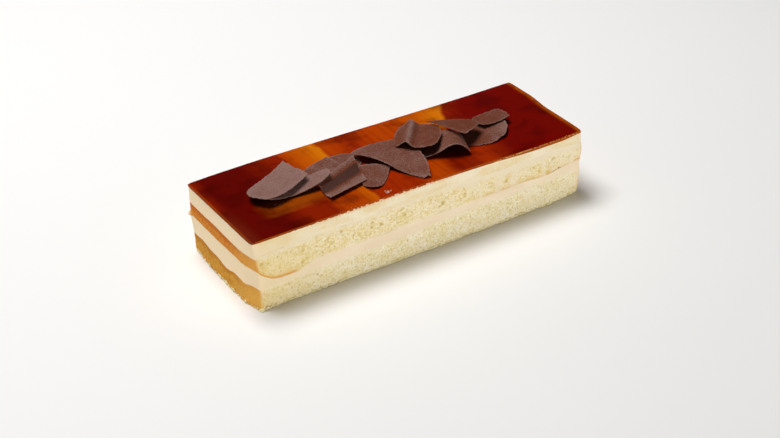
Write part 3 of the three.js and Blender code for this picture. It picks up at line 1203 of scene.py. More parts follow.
@dataclass(frozen=True)
class SpeckFinish(Finish):
    """Small specks: one tint that varies a little from place to place."""

    name: str
    light: Tint
    dark: Tint
    roughness: float
    specular: float = 0.3
    patches: Cloud = Cloud((1.6, 1.6, 1.6))

    def material(self) -> bpy.types.Material:
        """Mixes the two tints by fine noise.

        Returns:
            The material.
        """
        bench = Bench(self.name)
        tint = bench.mix(bench.noise(self.patches), self.light, self.dark)
        return bench.finish(tint, self.roughness, self.specular)


def add_piece(
    name: str,
    points: Array,
    quads: NDArray[np.int64],
    triangles: NDArray[np.int64],
    material: bpy.types.Material,
    marks: dict[Mark, Array] | None = None,
    crease: float = 50.0,
) -> bpy.types.Object:
    """Puts a mesh into the scene, in place, riding on the cake.

    Args:
        name: The piece's name.
        points: Corners in millimetres.
        quads: Faces with four corners.
        triangles: Faces with three corners.
        material: Its material.
        marks: Numbers that it carries at its points.
        crease: Angle in degrees above which an edge looks sharp.

    Returns:
        The new object.
    """
    mesh = bpy.data.meshes.new(name)
    corners = np.concatenate([quads.ravel(), triangles.ravel()]).astype(np.int32)
    starts = np.concatenate([4 * np.arange(len(quads)), 4 * len(quads) + 3 * np.arange(len(triangles))])
    mesh.vertices.add(len(points))
    mesh.vertices.foreach_set("co", (points * METRES).astype(np.float32).ravel())
    mesh.loops.add(len(corners))
    mesh.loops.foreach_set("vertex_index", corners)
    mesh.polygons.add(len(starts))
    mesh.polygons.foreach_set("loop_start", starts.astype(np.int32))
    mesh.update(calc_edges=True)
    mesh.validate()
    mesh.shade_smooth()
    mesh.set_sharp_from_angle(angle=math.radians(crease))
    for mark, values in (marks or {}).items():
        attribute = mesh.attributes.new(mark.value, "FLOAT", "POINT")
        attribute.data.foreach_set("value", values.astype(np.float32).ravel())
    mesh.materials.append(material)
    piece = bpy.data.objects.new(name, mesh)
    bpy.context.scene.collection.objects.link(piece)
    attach(piece, BODY)
    LOG.info("%s: %d triangles", name, 2 * len(quads) + len(triangles))
    return piece


def ring_faces(rings: int, around: int) -> tuple[NDArray[np.int64], NDArray[np.int64]]:
    """Faces of a closed shell of rings with a pole point below the first and above the last.

    Args:
        rings: How many rings there are.
        around: How many points a ring has.

    Returns:
        Quads between the rings and triangles to the two poles, which follow the rings' points.
    """
    ring, spot = np.meshgrid(np.arange(rings - 1), np.arange(around), indexing="ij")
    after = (spot + 1) % around
    corners = (ring * around + spot, ring * around + after, (ring + 1) * around + after)
    quads = np.stack([*corners, (ring + 1) * around + spot], axis=-1).reshape(-1, 4)
    first = np.arange(around)
    second = (first + 1) % around
    last = (rings - 1) * around
    foot = np.stack([np.full(around, rings * around), second, first], axis=-1)
    head = np.stack([last + first, last + second, np.full(around, rings * around + 1)], axis=-1)
    return quads, np.concatenate([foot, head])


@dataclass(frozen=True)
class Layer(ABC):
    """One layer of the bar: rings round the outline, stacked from its foot to its top and closed."""

    block: Block
    node: str
    foot: Surface
    top: Surface
    finish: Finish
    slot: Slot
    rows: int
    step: float = 0.6
    inner: tuple[float, ...] = (0.95, 0.6, 0.12)

    @abstractmethod
    def relief(self, points: Array, height_share: Array) -> tuple[Array, dict[Mark, Array]]:
        """How far each point of the side stands out, and the marks that it carries.

        Args:
            points: Points of the rings.
            height_share: Share of the way from the layer's foot to its top.

        Returns:
            Distances outwards, and marks by name.
        """

    def hold(self, plan: Array) -> Array:
        """Share of the relief that a ring takes: all of it on the side, none within."""
        return (plan == 1.0).astype(float)

    def profile(self) -> tuple[Array, Array]:
        """A ring's size and height, ring by ring: in below, up the side, in above.

        Returns:
            Shares of the plan and of the height.
        """
        side = np.linspace(0.0, 1.0, self.rows + 1)
        inner = np.array(self.inner)
        plan = np.concatenate([inner[::-1], np.ones_like(side), inner])
        rise = np.concatenate([np.zeros_like(inner), side, np.ones_like(inner)])
        return plan, rise

    @staticmethod
    def outward(points: Array) -> Array:
        """Level direction out of each ring: the way round it turned right by a quarter.

        Args:
            points: Points of the rings.

        Returns:
            Directions of length 1.
        """
        way = np.roll(points, -2, axis=1) - np.roll(points, 2, axis=1)
        out = points_at(way[..., 1], -way[..., 0], np.zeros(way.shape[:-1]))
        return out / np.linalg.norm(out, axis=-1, keepdims=True)

    def build(self) -> bpy.types.Object:
        """Places the rings, pushes the side's points out by the relief, and closes the shell.

        Returns:
            The layer's object.
        """
        u, v = self.block.outline(self.step)
        plan, rise = (share[:, None] for share in self.profile())
        x = plan * u * self.block.half_x
        y = plan * v * self.block.half_y
        foot = self.foot(x, y)
        height = foot + rise * (self.top(x, y) - foot)
        points = self.block.place(plan * u, plan * v, height)
        shift, marks = self.relief(points, np.broadcast_to(rise, x.shape))
        points = points + (shift * self.hold(plan))[..., None] * self.outward(points)
        poles = points[[0, -1]].mean(axis=1)
        quads, triangles = ring_faces(*x.shape)
        corners = np.concatenate([points.reshape(-1, 3), poles])
        carried = {mark: np.append(values.ravel(), [0.0, 0.0]) for mark, values in marks.items()}
        name = f"{self.node}_dressed"
        piece = add_piece(name, corners, quads, triangles, self.finish.material(), carried)
        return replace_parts(piece, self.node)


@dataclass(frozen=True)
class Pores:
    """One size of pore: its lattice, the share of cells that hold one, its depth and the painted shade in
    it.
    """

    size: float
    share: float
    depth: float
    tone: float


@dataclass(frozen=True)
class Sponge(Layer):
    """Soaked sponge: pores and crumb in its cut sides, browned ends, cream dragged over its top edge."""

    grain: Grain = Grain(seed=11)
    pores: tuple[Pores, ...] = ()
    crumb_size: float = 1.3
    crumb_depth: float = 0.45
    cluster_size: float = 17.0
    cluster_mean: float = 0.8
    cluster_swing: float = 0.5
    cluster_limits: Span = (0.5, 1.2)
    foot_depth: float = 0.0
    foot_height: float = 5.0
    foot_size: float = 2.4
    end_calm: float = 0.6
    soak_extra: float = 1.0
    soak_wander: float = 1.2
    soak_size: float = 5.0
    soak_edge: Span = (3.2, 0.4)
    soak_round: Span = (11.0, 1.0)
    soak_share: float = 0.75
    fringe_height: Span = (0.55, 1.0)
    fringe_wander: float = 0.15
    fringe_size: float = 7.0
    smear: float = 1.0
    smear_calm: float = 0.85
    smear_stretch: Spans = (1.0, 1.0, 0.25)
    smear_reach: float = 0.10
    smear_size: float = 8.0
    smear_least: float = 0.02
    smear_far: float = 0.2
    smear_far_along: Span = (-10.0, 90.0)
    smear_fray: float = 0.05
    smear_fray_size: float = 2.2
    smear_blend: Span = (-0.16, 0.16)
    film_near: Span = (-122.0, -108.0)
    film_far: Span = (70.0, 30.0)
    film_height: Span = (0.07, 0.0)
    film_share: float = 0.6
    haze_share: float = 0.65
    haze_blend: Span = (-0.1, 0.6)
    haze_size: float = 4.0
    haze_along: Span = (-30.0, 60.0)
    crust: float = 0.0
    crust_flat: float = 1.2
    crust_depth: float = 1.6
    crust_near: Span = (-112.0, -120.0)
    crust_far: Span = (30.0, 70.0)
    crust_far_share: float = 0.5
    spot_share: float = 0.3
    spot_blend: Span = (0.15, 0.6)
    spot_size: float = 8.0
    spot_along: Span = (0.0, 60.0)
    head_share: float = 0.4
    head_at: float = 0.94
    head_spread: float = 0.07
    head_near: Span = (25.0, 55.0)
    head_far: Span = (135.0, 105.0)
    flake: float = 0.0
    flake_at: Span = (50.0, 33.0)
    flake_spread: Span = (2.2, 3.4)
    flake_reach: Span = (4.0, 1.5)
    flake_pale: float = 0.85

    def end_soak(self, points: Array) -> Array:
        """How much milk browned each point: all of it on the ends, fading softly round the corner.

        Args:
            points: Points of the rings.

        Returns:
            Shares from 0 to 1.
        """
        x, y, z = np.moveaxis(points, -1, 0)
        far = self.block.far_stand(y, z) + self.soak_extra
        stand = np.where(x < 0.0, self.block.near_stand(y, z), far)
        gap = self.block.half_x - np.abs(x) + stand
        gap = gap + self.soak_wander * self.grain.rough(points, self.soak_size)
        edge = self.soak_share * smooth(*self.soak_edge, gap)
        return edge + (1.0 - self.soak_share) * smooth(*self.soak_round, gap)

    def crust_mark(self, points: Array, height_share: Array) -> Array:
        """Thin browned crust on the front: a line along the foot near both ends, spots and a faint head.

        Args:
            points: Points of the rings.
            height_share: Share of the way from the layer's foot to its top.

        Returns:
            How brown each point is.
        """
        x = points[..., 0]
        depth = height_share * (self.block.upper_line.level - self.block.middle_line.level)
        front = smooth(0.0, -self.block.half_y, points[..., 1])
        line = smooth(*self.crust_near, x) + self.crust_far_share * smooth(*self.crust_far, x)
        line = line * fade(depth - self.crust_flat, self.crust_depth)
        spots = smooth(*self.spot_blend, self.grain.value(points, self.spot_size))
        spots = self.spot_share * spots * smooth(*self.spot_along, x)
        head = self.head_share * bell(height_share, self.head_at, self.head_spread)
        head = head * smooth(*self.head_near, x) * smooth(*self.head_far, x)
        return self.crust * front * (line + spots + head)

    def smear_mark(self, points: Array, height_share: Array) -> Array:
        """Cream dragged down over the top edge, farthest along the far part, a film at the foot and a haze.

        Args:
            points: Points of the rings.
            height_share: Share of the way from the layer's foot to its top.

        Returns:
            How much cream covers each point, from 0 to 1.
        """
        x = points[..., 0]
        drag = points * np.array(self.smear_stretch)
        reach = self.smear_reach + self.smear_reach * self.grain.rough(drag, self.smear_size)
        reach = np.maximum(self.smear_least, reach + self.smear_far * smooth(*self.smear_far_along, x))
        ragged = height_share + self.smear_fray * self.grain.rough(points, self.smear_fray_size)
        film = smooth(*self.film_near, x) * smooth(*self.film_far, x) * smooth(*self.film_height, ragged)
        film = smooth(*self.smear_blend, ragged - 1.0 + reach) + self.film_share * film
        haze = smooth(*self.haze_blend, self.grain.value(drag, self.haze_size))
        haze = self.haze_share * haze * smooth(*self.haze_along, x) * (self.smear_far > 0.0)
        return self.smear * np.clip(np.maximum(film, haze), 0.0, 1.0) * (1.0 - self.end_soak(points))

    def flake_mark(self, points: Array) -> Array:
        """A pale flake on the near end at its back edge, as a bell across and over height.

        Args:
            points: Points of the rings.

        Returns:
            Shares from 0 to 1.
        """
        across = bell(points[..., 1], self.flake_at[0], self.flake_spread[0], power=4)
        height = bell(points[..., 2], self.flake_at[1], self.flake_spread[1], power=4)
        near = smooth(*self.flake_reach, points[..., 0] + self.block.half_x)
        return across * height * near * (self.flake > 0.0)

    def pore_depths(self, points: Array) -> tuple[Array, Array]:
        """Sums the hollows of all pores, which stand closer together in some places than in others.

        Args:
            points: Points of the rings.

        Returns:
            Depths in millimetres, and painted shade in the pores from 0 to 1.
        """
        cluster = self.cluster_mean + self.cluster_swing * self.grain.value(points, self.cluster_size)
        cluster = np.clip(cluster, *self.cluster_limits)
        hollow = np.zeros(points.shape[:-1])
        tone = np.zeros(points.shape[:-1])
        for number, kind in enumerate(self.pores, start=1):
            depth = Grain(self.grain.seed + number).pores(points, kind.size, kind.share * cluster)
            hollow = hollow + kind.depth * depth
            tone = np.maximum(tone, kind.tone * depth)
        return hollow, tone

    def relief(self, points: Array, height_share: Array) -> tuple[Array, dict[Mark, Array]]:
        """Pores of several sizes press in and rough crumb stands out, calmer on ends and under cream.

        Args:
            points: Points of the rings.
            height_share: Share of the way from the layer's foot to its top.

        Returns:
            Distances outwards, and marks by name.
        """
        soak = self.end_soak(points)
        smear = self.smear_mark(points, height_share)
        calm = (1.0 - self.end_calm * soak) * (1.0 - self.smear_calm * smear)
        hollow, tone = self.pore_depths(points)
        crumb = self.crumb_depth * self.grain.rough(points, self.crumb_size)
        crags = self.foot_depth * fade(points[..., 2], self.foot_height)
        crags = crags * self.grain.rough(points, self.foot_size)
        fringe = height_share + self.fringe_wander * self.grain.value(points, self.fringe_size)
        flake = self.flake_mark(points)
        marks = {
            Mark.PORE: tone * calm,
            Mark.SOAK: np.clip(soak + self.crust_mark(points, height_share), 0.0, 1.0),
            Mark.FRINGE: smooth(*self.fringe_height, fringe),
            Mark.SMEAR: np.maximum(smear, self.flake_pale * flake),
        }
        return calm * (crumb - hollow) + crags + self.flake * flake, marks


@dataclass(frozen=True)
class Cream(Layer):
    """Whipped cream: a smooth side with soft waves and upright drag marks."""

    grain: Grain = Grain(seed=29)
    drag_stretch: Spans = (1.0, 1.0, 0.1)
    drag_depth: float = 0.12
    drag_size: float = 2.4
    wave_depth: float = 0.3
    wave_size: float = 19.0

    def relief(self, points: Array, height_share: Array) -> tuple[Array, dict[Mark, Array]]:
        """Drag marks are noise stretched upwards, on top of broad soft waves.

        Args:
            points: Points of the rings.
            height_share: Not used.

        Returns:
            Distances outwards, and no marks.
        """
        drag = self.grain.rough(points * np.array(self.drag_stretch), self.drag_size)
        wave = self.grain.value(points, self.wave_size)
        return self.drag_depth * drag + self.wave_depth * wave, {}


@dataclass(frozen=True)
class Glaze(Layer):
    """Caramel glaze: a thin skin with a level shine and an edge torn along the near part of the front."""

    grain: Grain = Grain(seed=41)
    below: tuple[float, ...] = (0.1, 0.5, 0.9, 0.97)
    edge_share: float = 0.9
    edge_rings: int = 12
    inner_share: float = 0.02
    inner_rings: int = 17
    overhang: float = 0.4
    depth: float = 0.9
    tooth: float = 1.7
    tooth_stretch: Spans = (1.0, 0.2, 0.2)
    tooth_blend: Span = (-0.25, 0.5)
    torn_front: Span = (0.8, 0.97)
    rough_depth: float = 0.12
    rough_size: float = 3.0
    edge_reach: float = 2.0

    def profile(self) -> tuple[Array, Array]:
        """A ring's size and height, ring by ring: a few below, up the rim, many above.

        Returns:
            Shares of the plan and of the height.
        """
        side = np.linspace(0.0, 1.0, self.rows + 1)
        below = np.array(self.below)
        edge = np.linspace(1.0, self.edge_share, self.edge_rings)[1:]
        above = np.concatenate([edge, np.linspace(self.edge_share, self.inner_share, self.inner_rings)[1:]])
        plan = np.concatenate([below, np.ones_like(side), above])
        rise = np.concatenate([np.zeros_like(below), side, np.ones_like(above)])
        return plan, rise

    def hold(self, plan: Array) -> Array:
        """Share of the relief that a ring takes: it fades over a short way in from the edge."""
        return fade((1.0 - plan) * self.block.half_y, self.edge_reach)

    def relief(self, points: Array, height_share: Array) -> tuple[Array, dict[Mark, Array]]:
        """The rim stands out, rounded over its height, and noise tears it back along the front.

        Args:
            points: Points of the rings.
            height_share: Share of the way from the layer's foot to its top.

        Returns:
            Distances outwards, and no marks.
        """
        rim = self.overhang * np.sqrt(np.clip(1.0 - height_share**2, 0.0, 1.0))
        front = smooth(*self.torn_front, -points[..., 1] / self.block.half_y)
        teeth = self.grain.rough(points * np.array(self.tooth_stretch), self.tooth)
        torn = self.depth * self.block.tear.at(points[..., 0]) * front * smooth(*self.tooth_blend, teeth)
        return rim - torn + self.rough_depth * self.grain.rough(points, self.rough_size), {}


@dataclass(frozen=True)
class Shaving:
    """One curled chocolate shaving: a thin sheet pressed to a rounded outline, bent in plan and raised.

    Its place and heading set it on the cake, the heights from arch to fold lift it out of its plane,
    and its bloom, partly painted sheen, says how pale it is; painted shade and highlights can darken or
    lighten it along its length. The values that all shavings share stand below these.
    """

    x: float
    y: float
    heading: float
    length: float
    width: float
    round_start: float
    round_end: float
    bloom_and_painted_light: float
    taper: float = 0.0
    skew: float = 0.0
    bend: float = 0.0
    arch: float = 0.0
    sway: float = 0.0
    curl: float = 0.0
    pitch: float = 0.0
    roll: float = 0.0
    twist: float = 0.0
    fold: float = 0.0
    fold_at: float = 0.0
    fold_width: float = 1.0
    bloom_turn: float = 0.0
    # Painted shade along the sheet, as a bell across it; below zero it paints a highlight instead
    painted_shade: float = 0.0
    painted_shade_at: float = 0.0
    painted_shade_width: float = 0.3

    lie: ClassVar[str] = "lie"
    thickness: ClassVar[float] = 1.0
    solid_steps: ClassVar[tuple[int, int]] = (10, 6)
    steps: ClassVar[tuple[int, int]] = (76, 48)
    straight: ClassVar[float] = 1e-9
    first_seed: ClassVar[int] = 60
    chip_depth: ClassVar[float] = 0.03
    chip_sizes: ClassVar[Span] = (5.0, 1.3)
    chip_power: ClassVar[int] = 12
    drag_stretch: ClassVar[Spans] = (0.12, 1.0, 1.0)
    drag_depth: ClassVar[float] = 0.10
    drag_size: ClassVar[float] = 2.2
    dent_depths: ClassVar[Span] = (0.22, 0.1)
    dent_sizes: ClassVar[Span] = (9.0, 1.2)
    thinned: ClassVar[float] = 0.45
    thin_power: ClassVar[int] = 8
    sunk: ClassVar[float] = 0.12
    # Painted highlight along the sheet's edges
    edge_highlight: ClassVar[float] = 0.5
    edge_power: ClassVar[int] = 16
    crease: ClassVar[float] = 60.0

    def sheet(self, a: Array, b: Array) -> Array:
        """Middle surface: an arc in plan along a, across b, with the heights summed.

        Args:
            a: Places along the rounded outline, from -1 to 1.
            b: Places across the rounded outline, from -1 to 1.

        Returns:
            Points, with heights above the sheet's own plane.
        """
        along = self.length / 2.0 * a + self.skew * b
        across = self.width / 2.0 * b * (1.0 + self.taper * a)
        radius = self.length / (math.radians(self.bend) or self.straight)
        turn = along / radius
        forward = (radius - across) * np.sin(turn)
        sideways = radius - (radius - across) * np.cos(turn)
        height = self.arch * (1.0 - a * a) + self.sway * np.sin(math.pi * a) + self.curl * b * b
        height = height + (self.pitch * a + self.roll * b + self.twist * a * b) / 2.0
        height = height + self.fold * bell(a, self.fold_at, self.fold_width)
        cosine = math.cos(math.radians(self.heading))
        sine = math.sin(math.radians(self.heading))
        x = self.x + forward * cosine - sideways * sine
        y = self.y + forward * sine + sideways * cosine
        return points_at(x, y, height)

    def outline(self, u: Array, v: Array) -> tuple[Array, Array]:
        """Presses the square u, v to an outline that is rounded at both ends."""
        rounding = self.round_start + (self.round_end - self.round_start) * (u + 1.0) / 2.0
        return u * np.sqrt(1.0 - rounding * v * v / 2.0), v * np.sqrt(1.0 - rounding * u * u / 2.0)

    @staticmethod
    def grid(steps: tuple[int, int]) -> tuple[Array, Array]:
        """Even grid of shares from -1 to 1.

        Args:
            steps: Numbers of cells along and across.

        Returns:
            Shares along and across.
        """
        lines = (np.linspace(-1.0, 1.0, count + 1) for count in steps)
        u, v = np.meshgrid(*lines, indexing="ij")
        return u, v

    def raised(self, node: str) -> float:
        """How far the sheet's plane lies above the underside, read from the solid's lowest point.

        Args:
            node: The solid that the shaving stands for.

        Returns:
            Height to add to the sheet.
        """
        u, v = self.grid(self.solid_steps)
        lowest = self.sheet(*self.outline(u, v))[..., 2].min()
        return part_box(node)[0].z / METRES + self.thickness / 2.0 - lowest

    def build(self, node: str, material: bpy.types.Material) -> bpy.types.Object:
        """Makes both faces of the sheet with a chipped edge that thins out, and joins them by a rim.

        Args:
            node: The solid that the shaving stands for.
            material: Its material.

        Returns:
            The shaving's object.
        """
        grain = Grain(seed=int(node[-2:]) + self.first_seed)
        u, v = self.grid(self.steps)
        a, b = self.outline(u, v)
        flat = points_at(self.length * a / 2.0, self.width * b / 2.0, np.zeros_like(a))
        edge = np.maximum(np.abs(u), np.abs(v))
        chip = grain.rough(flat, self.chip_sizes[0]) + grain.value(flat, self.chip_sizes[1])
        trim = 1.0 + self.chip_depth * chip * edge**self.chip_power
        middle = self.sheet(a * trim, b * trim)
        middle[..., 2] += self.raised(node)
        drag = self.drag_depth * grain.rough(flat * np.array(self.drag_stretch), self.drag_size)
        dents = zip(self.dent_depths, self.dent_sizes)
        dent = sum(depth * grain.value(flat, size) for depth, size in dents)
        half = self.thickness / 2.0 * (1.0 - self.thinned * edge**self.thin_power)
        upper = middle.copy()
        upper[..., 2] += half - self.sunk + drag + dent
        lower = middle.copy()
        lower[..., 2] -= half
        # Painted shade in a trough, or a painted highlight along a ridge where it is below zero
        dip = self.painted_shade * bell(a, self.painted_shade_at, self.painted_shade_width)
        # Painted highlight: paler chocolate along the edge
        bloom_and_painted_light = self.bloom_and_painted_light + self.bloom_turn * a - dip + self.edge_highlight * edge**self.edge_power
        return self.join(node, upper, lower, flat, bloom_and_painted_light, material)

    def join(
        self,
        node: str,
        upper: Array,
        lower: Array,
        flat: Array,
        bloom_and_painted_light: Array,
        material: bpy.types.Material,
    ) -> bpy.types.Object:
        """Joins the two faces of the sheet into a closed piece with a map of the sheet laid flat.

        Args:
            node: The solid that the shaving stands for.
            upper: Points of the upper face.
            lower: Points of the lower face.
            flat: The sheet laid flat.
            bloom_and_painted_light: How pale each point is.
            material: Its material.

        Returns:
            The shaving's object.
        """
        count = upper.shape[0] * upper.shape[1]
        index = np.arange(count).reshape(upper.shape[:2])
        cells = (index[:-1, :-1], index[1:, :-1], index[1:, 1:], index[:-1, 1:])
        top = np.stack(cells, axis=-1).reshape(-1, 4)
        under = top[:, ::-1] + count
        loop = np.concatenate([index[:-1, 0], index[-1, :-1], index[:0:-1, -1], index[0, :0:-1]])
        after = np.roll(loop, -1)
        rim = np.stack([loop + count, after + count, after, loop], axis=-1)
        quads = np.concatenate([top, under, rim])
        corners = np.concatenate([upper.reshape(-1, 3), lower.reshape(-1, 3)])
        marks = {Mark.BLOOM_AND_PAINTED_LIGHT: np.tile(bloom_and_painted_light.ravel(), 2)}
        none = np.zeros((0, 3), np.int64)
        name = f"{node}_dressed"
        piece = add_piece(name, corners, quads, none, material, marks, self.crease)
        lie = np.tile(flat[..., :2].reshape(-1, 2), (2, 1))
        layer = piece.data.uv_layers.new(name=self.lie)
        layer.data.foreach_set("uv", lie[quads.ravel()].astype(np.float32).ravel())
        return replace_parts(piece, node)


@dataclass(frozen=True)
class Heap:
    """The chocolate shavings, in the order in which they were laid."""

    finish: ChocolateFinish = ChocolateFinish()
    stem: str = "chocolate_shaving"
    shavings: tuple[Shaving, ...] = (
        Shaving(
            x=-40, y=9, heading=0, length=30, width=22, round_start=0.4, round_end=0.6, bloom_and_painted_light=0.35,
            arch=1, pitch=-1, roll=1,
        ),
        Shaving(
            x=-60, y=8, heading=10, length=28, width=19, round_start=0.7, round_end=0.2, bloom_and_painted_light=0.35,
            arch=-1, pitch=2,
        ),
        Shaving(
            x=-31, y=-23, heading=57, length=33, width=22, round_start=0.7, round_end=0.3, bloom_and_painted_light=0.3,
            taper=0.3, arch=-1, curl=-1, pitch=1,
        ),
        Shaving(
            x=-56, y=-18, heading=86, length=23, width=37, round_start=0.1, round_end=0.1, bloom_and_painted_light=0.6,
            skew=-5, arch=-3, pitch=6, roll=-4, twist=-4,
            # Painted shade in this piece's trough
            painted_shade=2.0, painted_shade_at=0.2, painted_shade_width=0.4,
        ),
        Shaving(
            x=-90, y=-7, heading=-4, length=58, width=13, round_start=0.8, round_end=0.9, bloom_and_painted_light=0.8,
            arch=-4, pitch=7, roll=3,
        ),
        Shaving(
            x=-105, y=1, heading=16, length=47, width=28, round_start=0.7, round_end=0.1, bloom_and_painted_light=0.8,
            arch=-3, pitch=5, roll=-1, twist=2,
        ),
        Shaving(
            x=83, y=-13, heading=-5, length=42, width=32, round_start=0.8, round_end=1, bloom_and_painted_light=0.25,
            skew=5, arch=-1, pitch=2, roll=2, bloom_turn=0.4,
        ),
        Shaving(
            x=40, y=-16, heading=-20, length=39, width=25, round_start=0.1, round_end=0.1, bloom_and_painted_light=0.35,
            arch=7, sway=3,
        ),
        Shaving(
            x=97, y=0, heading=3, length=31, width=19, round_start=0.7, round_end=0.4, bloom_and_painted_light=0.15,
            arch=-1, roll=-1,
        ),
        Shaving(
            x=-3, y=-11, heading=-80, length=61, width=35, round_start=0.7, round_end=0.6, bloom_and_painted_light=0.32,
            taper=-0.5, skew=11, bend=-30, arch=5, pitch=-3,
        ),
        Shaving(
            x=25, y=-1, heading=-40, length=38, width=38, round_start=0.6, round_end=0.7, bloom_and_painted_light=0.1,
            pitch=4, fold=5, fold_at=-0.4, fold_width=0.25,
            # Painted highlight along this piece's ridge
            painted_shade=-0.7, painted_shade_at=-0.32, painted_shade_width=0.12,
        ),
        Shaving(
            x=62, y=-4, heading=8, length=28, width=27, round_start=0.1, round_end=0.4, bloom_and_painted_light=0.1,
            taper=-0.4, skew=-5, curl=-1, pitch=-4,
        ),
    )

    def build(self) -> None:
        """Makes every shaving in the place of its solid."""
        material = self.finish.material()
        for number, shaving in enumerate(self.shavings, start=1):
            shaving.build(f"{self.stem}_{number:02d}", material)


@dataclass(frozen=True)
class Lumps(ABC):
    """Many small lumps joined into one piece: stretched and dented balls of a few faces each."""

    block: Block
    name: str
    slot: Slot
    finish: Finish
    seed: int
    count: int
    least: float
    most: float
    flatness: float = 0.0
    rings: int = 3
    around: int = 6
    stretch_least: float = 0.75
    stretch_more: float = 0.5
    dent_least: float = 0.8
    dent_more: float = 0.4

    @abstractmethod
    def spots(self, draw: np.random.Generator) -> Array:
        """Draws the middles of the lumps.

        Args:
            draw: Source of chance numbers.

        Returns:
            One point for each lump.
        """

    def ball(self) -> Array:
        """Points of a unit ball: rings of latitude from the foot up, then its two poles.

        Returns:
            The points.
        """
        rise = np.pi * (np.arange(1, self.rings + 1) / (self.rings + 1) - 0.5)
        turn = 2.0 * np.pi * np.arange(self.around) / self.around
        x = np.cos(rise)[:, None] * np.cos(turn)
        y = np.cos(rise)[:, None] * np.sin(turn)
        ring = points_at(x, y, np.sin(rise)[:, None]).reshape(-1, 3)
        return np.concatenate([ring, [[0.0, 0.0, -1.0], [0.0, 0.0, 1.0]]])

    def build(self) -> bpy.types.Object:
        """Puts a ball of chance size, stretch and dents at every spot and joins them.

        Returns:
            The joined piece.
        """
        draw = np.random.default_rng(self.seed)
        middle = self.spots(draw)
        ball = self.ball()
        size = self.least + (self.most - self.least) * draw.random((self.count, 1, 1)) ** 2
        stretch = self.stretch_least + self.stretch_more * draw.random((self.count, 1, 3))
        stretch[..., 2] *= 1.0 - self.flatness
        dents = self.dent_least + self.dent_more * draw.random((self.count, len(ball), 1))
        points = middle[:, None, :] + size * stretch * dents * ball
        points[..., 2] = np.maximum(0.0, points[..., 2])
        quads, triangles = ring_faces(self.rings, self.around)
        first = len(ball) * np.arange(self.count)[:, None, None]
        quads = (first + quads).reshape(-1, 4)
        triangles = (first + triangles).reshape(-1, 3)
        material = self.finish.material()
        return add_piece(self.name, points.reshape(-1, 3), quads, triangles, material)


@dataclass(frozen=True)
class FootCrumbs(Lumps):
    """Crumb that clings along the foot of the cut sides."""

    height: float = 1.2
    sunk: float = 0.1

    def spots(self, draw: np.random.Generator) -> Array:
        """Chance places round the outline, a little above the underside and sunk into the side.

        Args:
            draw: Source of chance numbers.

        Returns:
            One point for each crumb.
        """
        u, v = self.block.outline(self.least)
        chosen = draw.integers(0, len(u), self.count)
        z = self.least + self.height * draw.random(self.count) ** 2
        inward = 1.0 - self.sunk / self.block.half_y
        return self.block.place(inward * u[chosen], inward * v[chosen], z)


@dataclass(frozen=True)
class EdgeSpecks(Lumps):
    """Specks of cream along the torn front edge of the glaze."""

    reach: float = 1.6
    sunk: float = 0.9
    tries: int = 40

    def spots(self, draw: np.random.Generator) -> Array:
        """Chance places along the front edge, kept the more often the worse the tear is there.

        Args:
            draw: Source of chance numbers.

        Returns:
            One point for each speck.
        """
        x = self.block.half_x * (2.0 * draw.random(self.tries * self.count) - 1.0)
        kept = x[draw.random(len(x)) < self.block.tear.at(x)][: self.count]
        inward = self.reach * draw.random(self.count) ** 2
        y = inward - self.block.half_y
        sunk = self.sunk * (1.0 - inward / self.reach)
        return points_at(kept, y, self.block.glaze_top(kept, y) - sunk)


@dataclass(frozen=True)
class Cluster(Lumps):
    """Small lumps gathered round a few places on the glaze."""

    middles: tuple[Span, ...] = ((0.0, 0.0),)
    spread: float = 2.0
    sunk: float = 0.1

    def spots(self, draw: np.random.Generator) -> Array:
        """Chance places in a bell round each middle, resting on the glaze.

        Args:
            draw: Source of chance numbers.

        Returns:
            One point for each lump.
        """
        middle = np.array(self.middles)[draw.integers(0, len(self.middles), self.count)]
        x, y = (middle + self.spread * draw.normal(size=(self.count, 2))).T
        return points_at(x, y, self.block.glaze_top(x, y) + self.least - self.sunk)


@dataclass(frozen=True)
class Lamp:
    """A softbox of white light. Sizes are in metres and power in watts."""

    name: str
    place: Spans
    width: float
    depth: float
    power: float

    def build(self, aim: Vector) -> None:
        """Hangs the lamp at its place.

        Args:
            aim: The point that it is turned towards.
        """
        data = bpy.data.lights.new(self.name, "AREA")
        data.shape = "RECTANGLE"
        data.size = self.width
        data.size_y = self.depth
        data.energy = self.power
        lamp = bpy.data.objects.new(self.name, data)
        lamp.location = Vector(self.place)
        lamp.rotation_euler = (aim - lamp.location).to_track_quat("-Z", "Y").to_euler()
        bpy.context.scene.collection.objects.link(lamp)


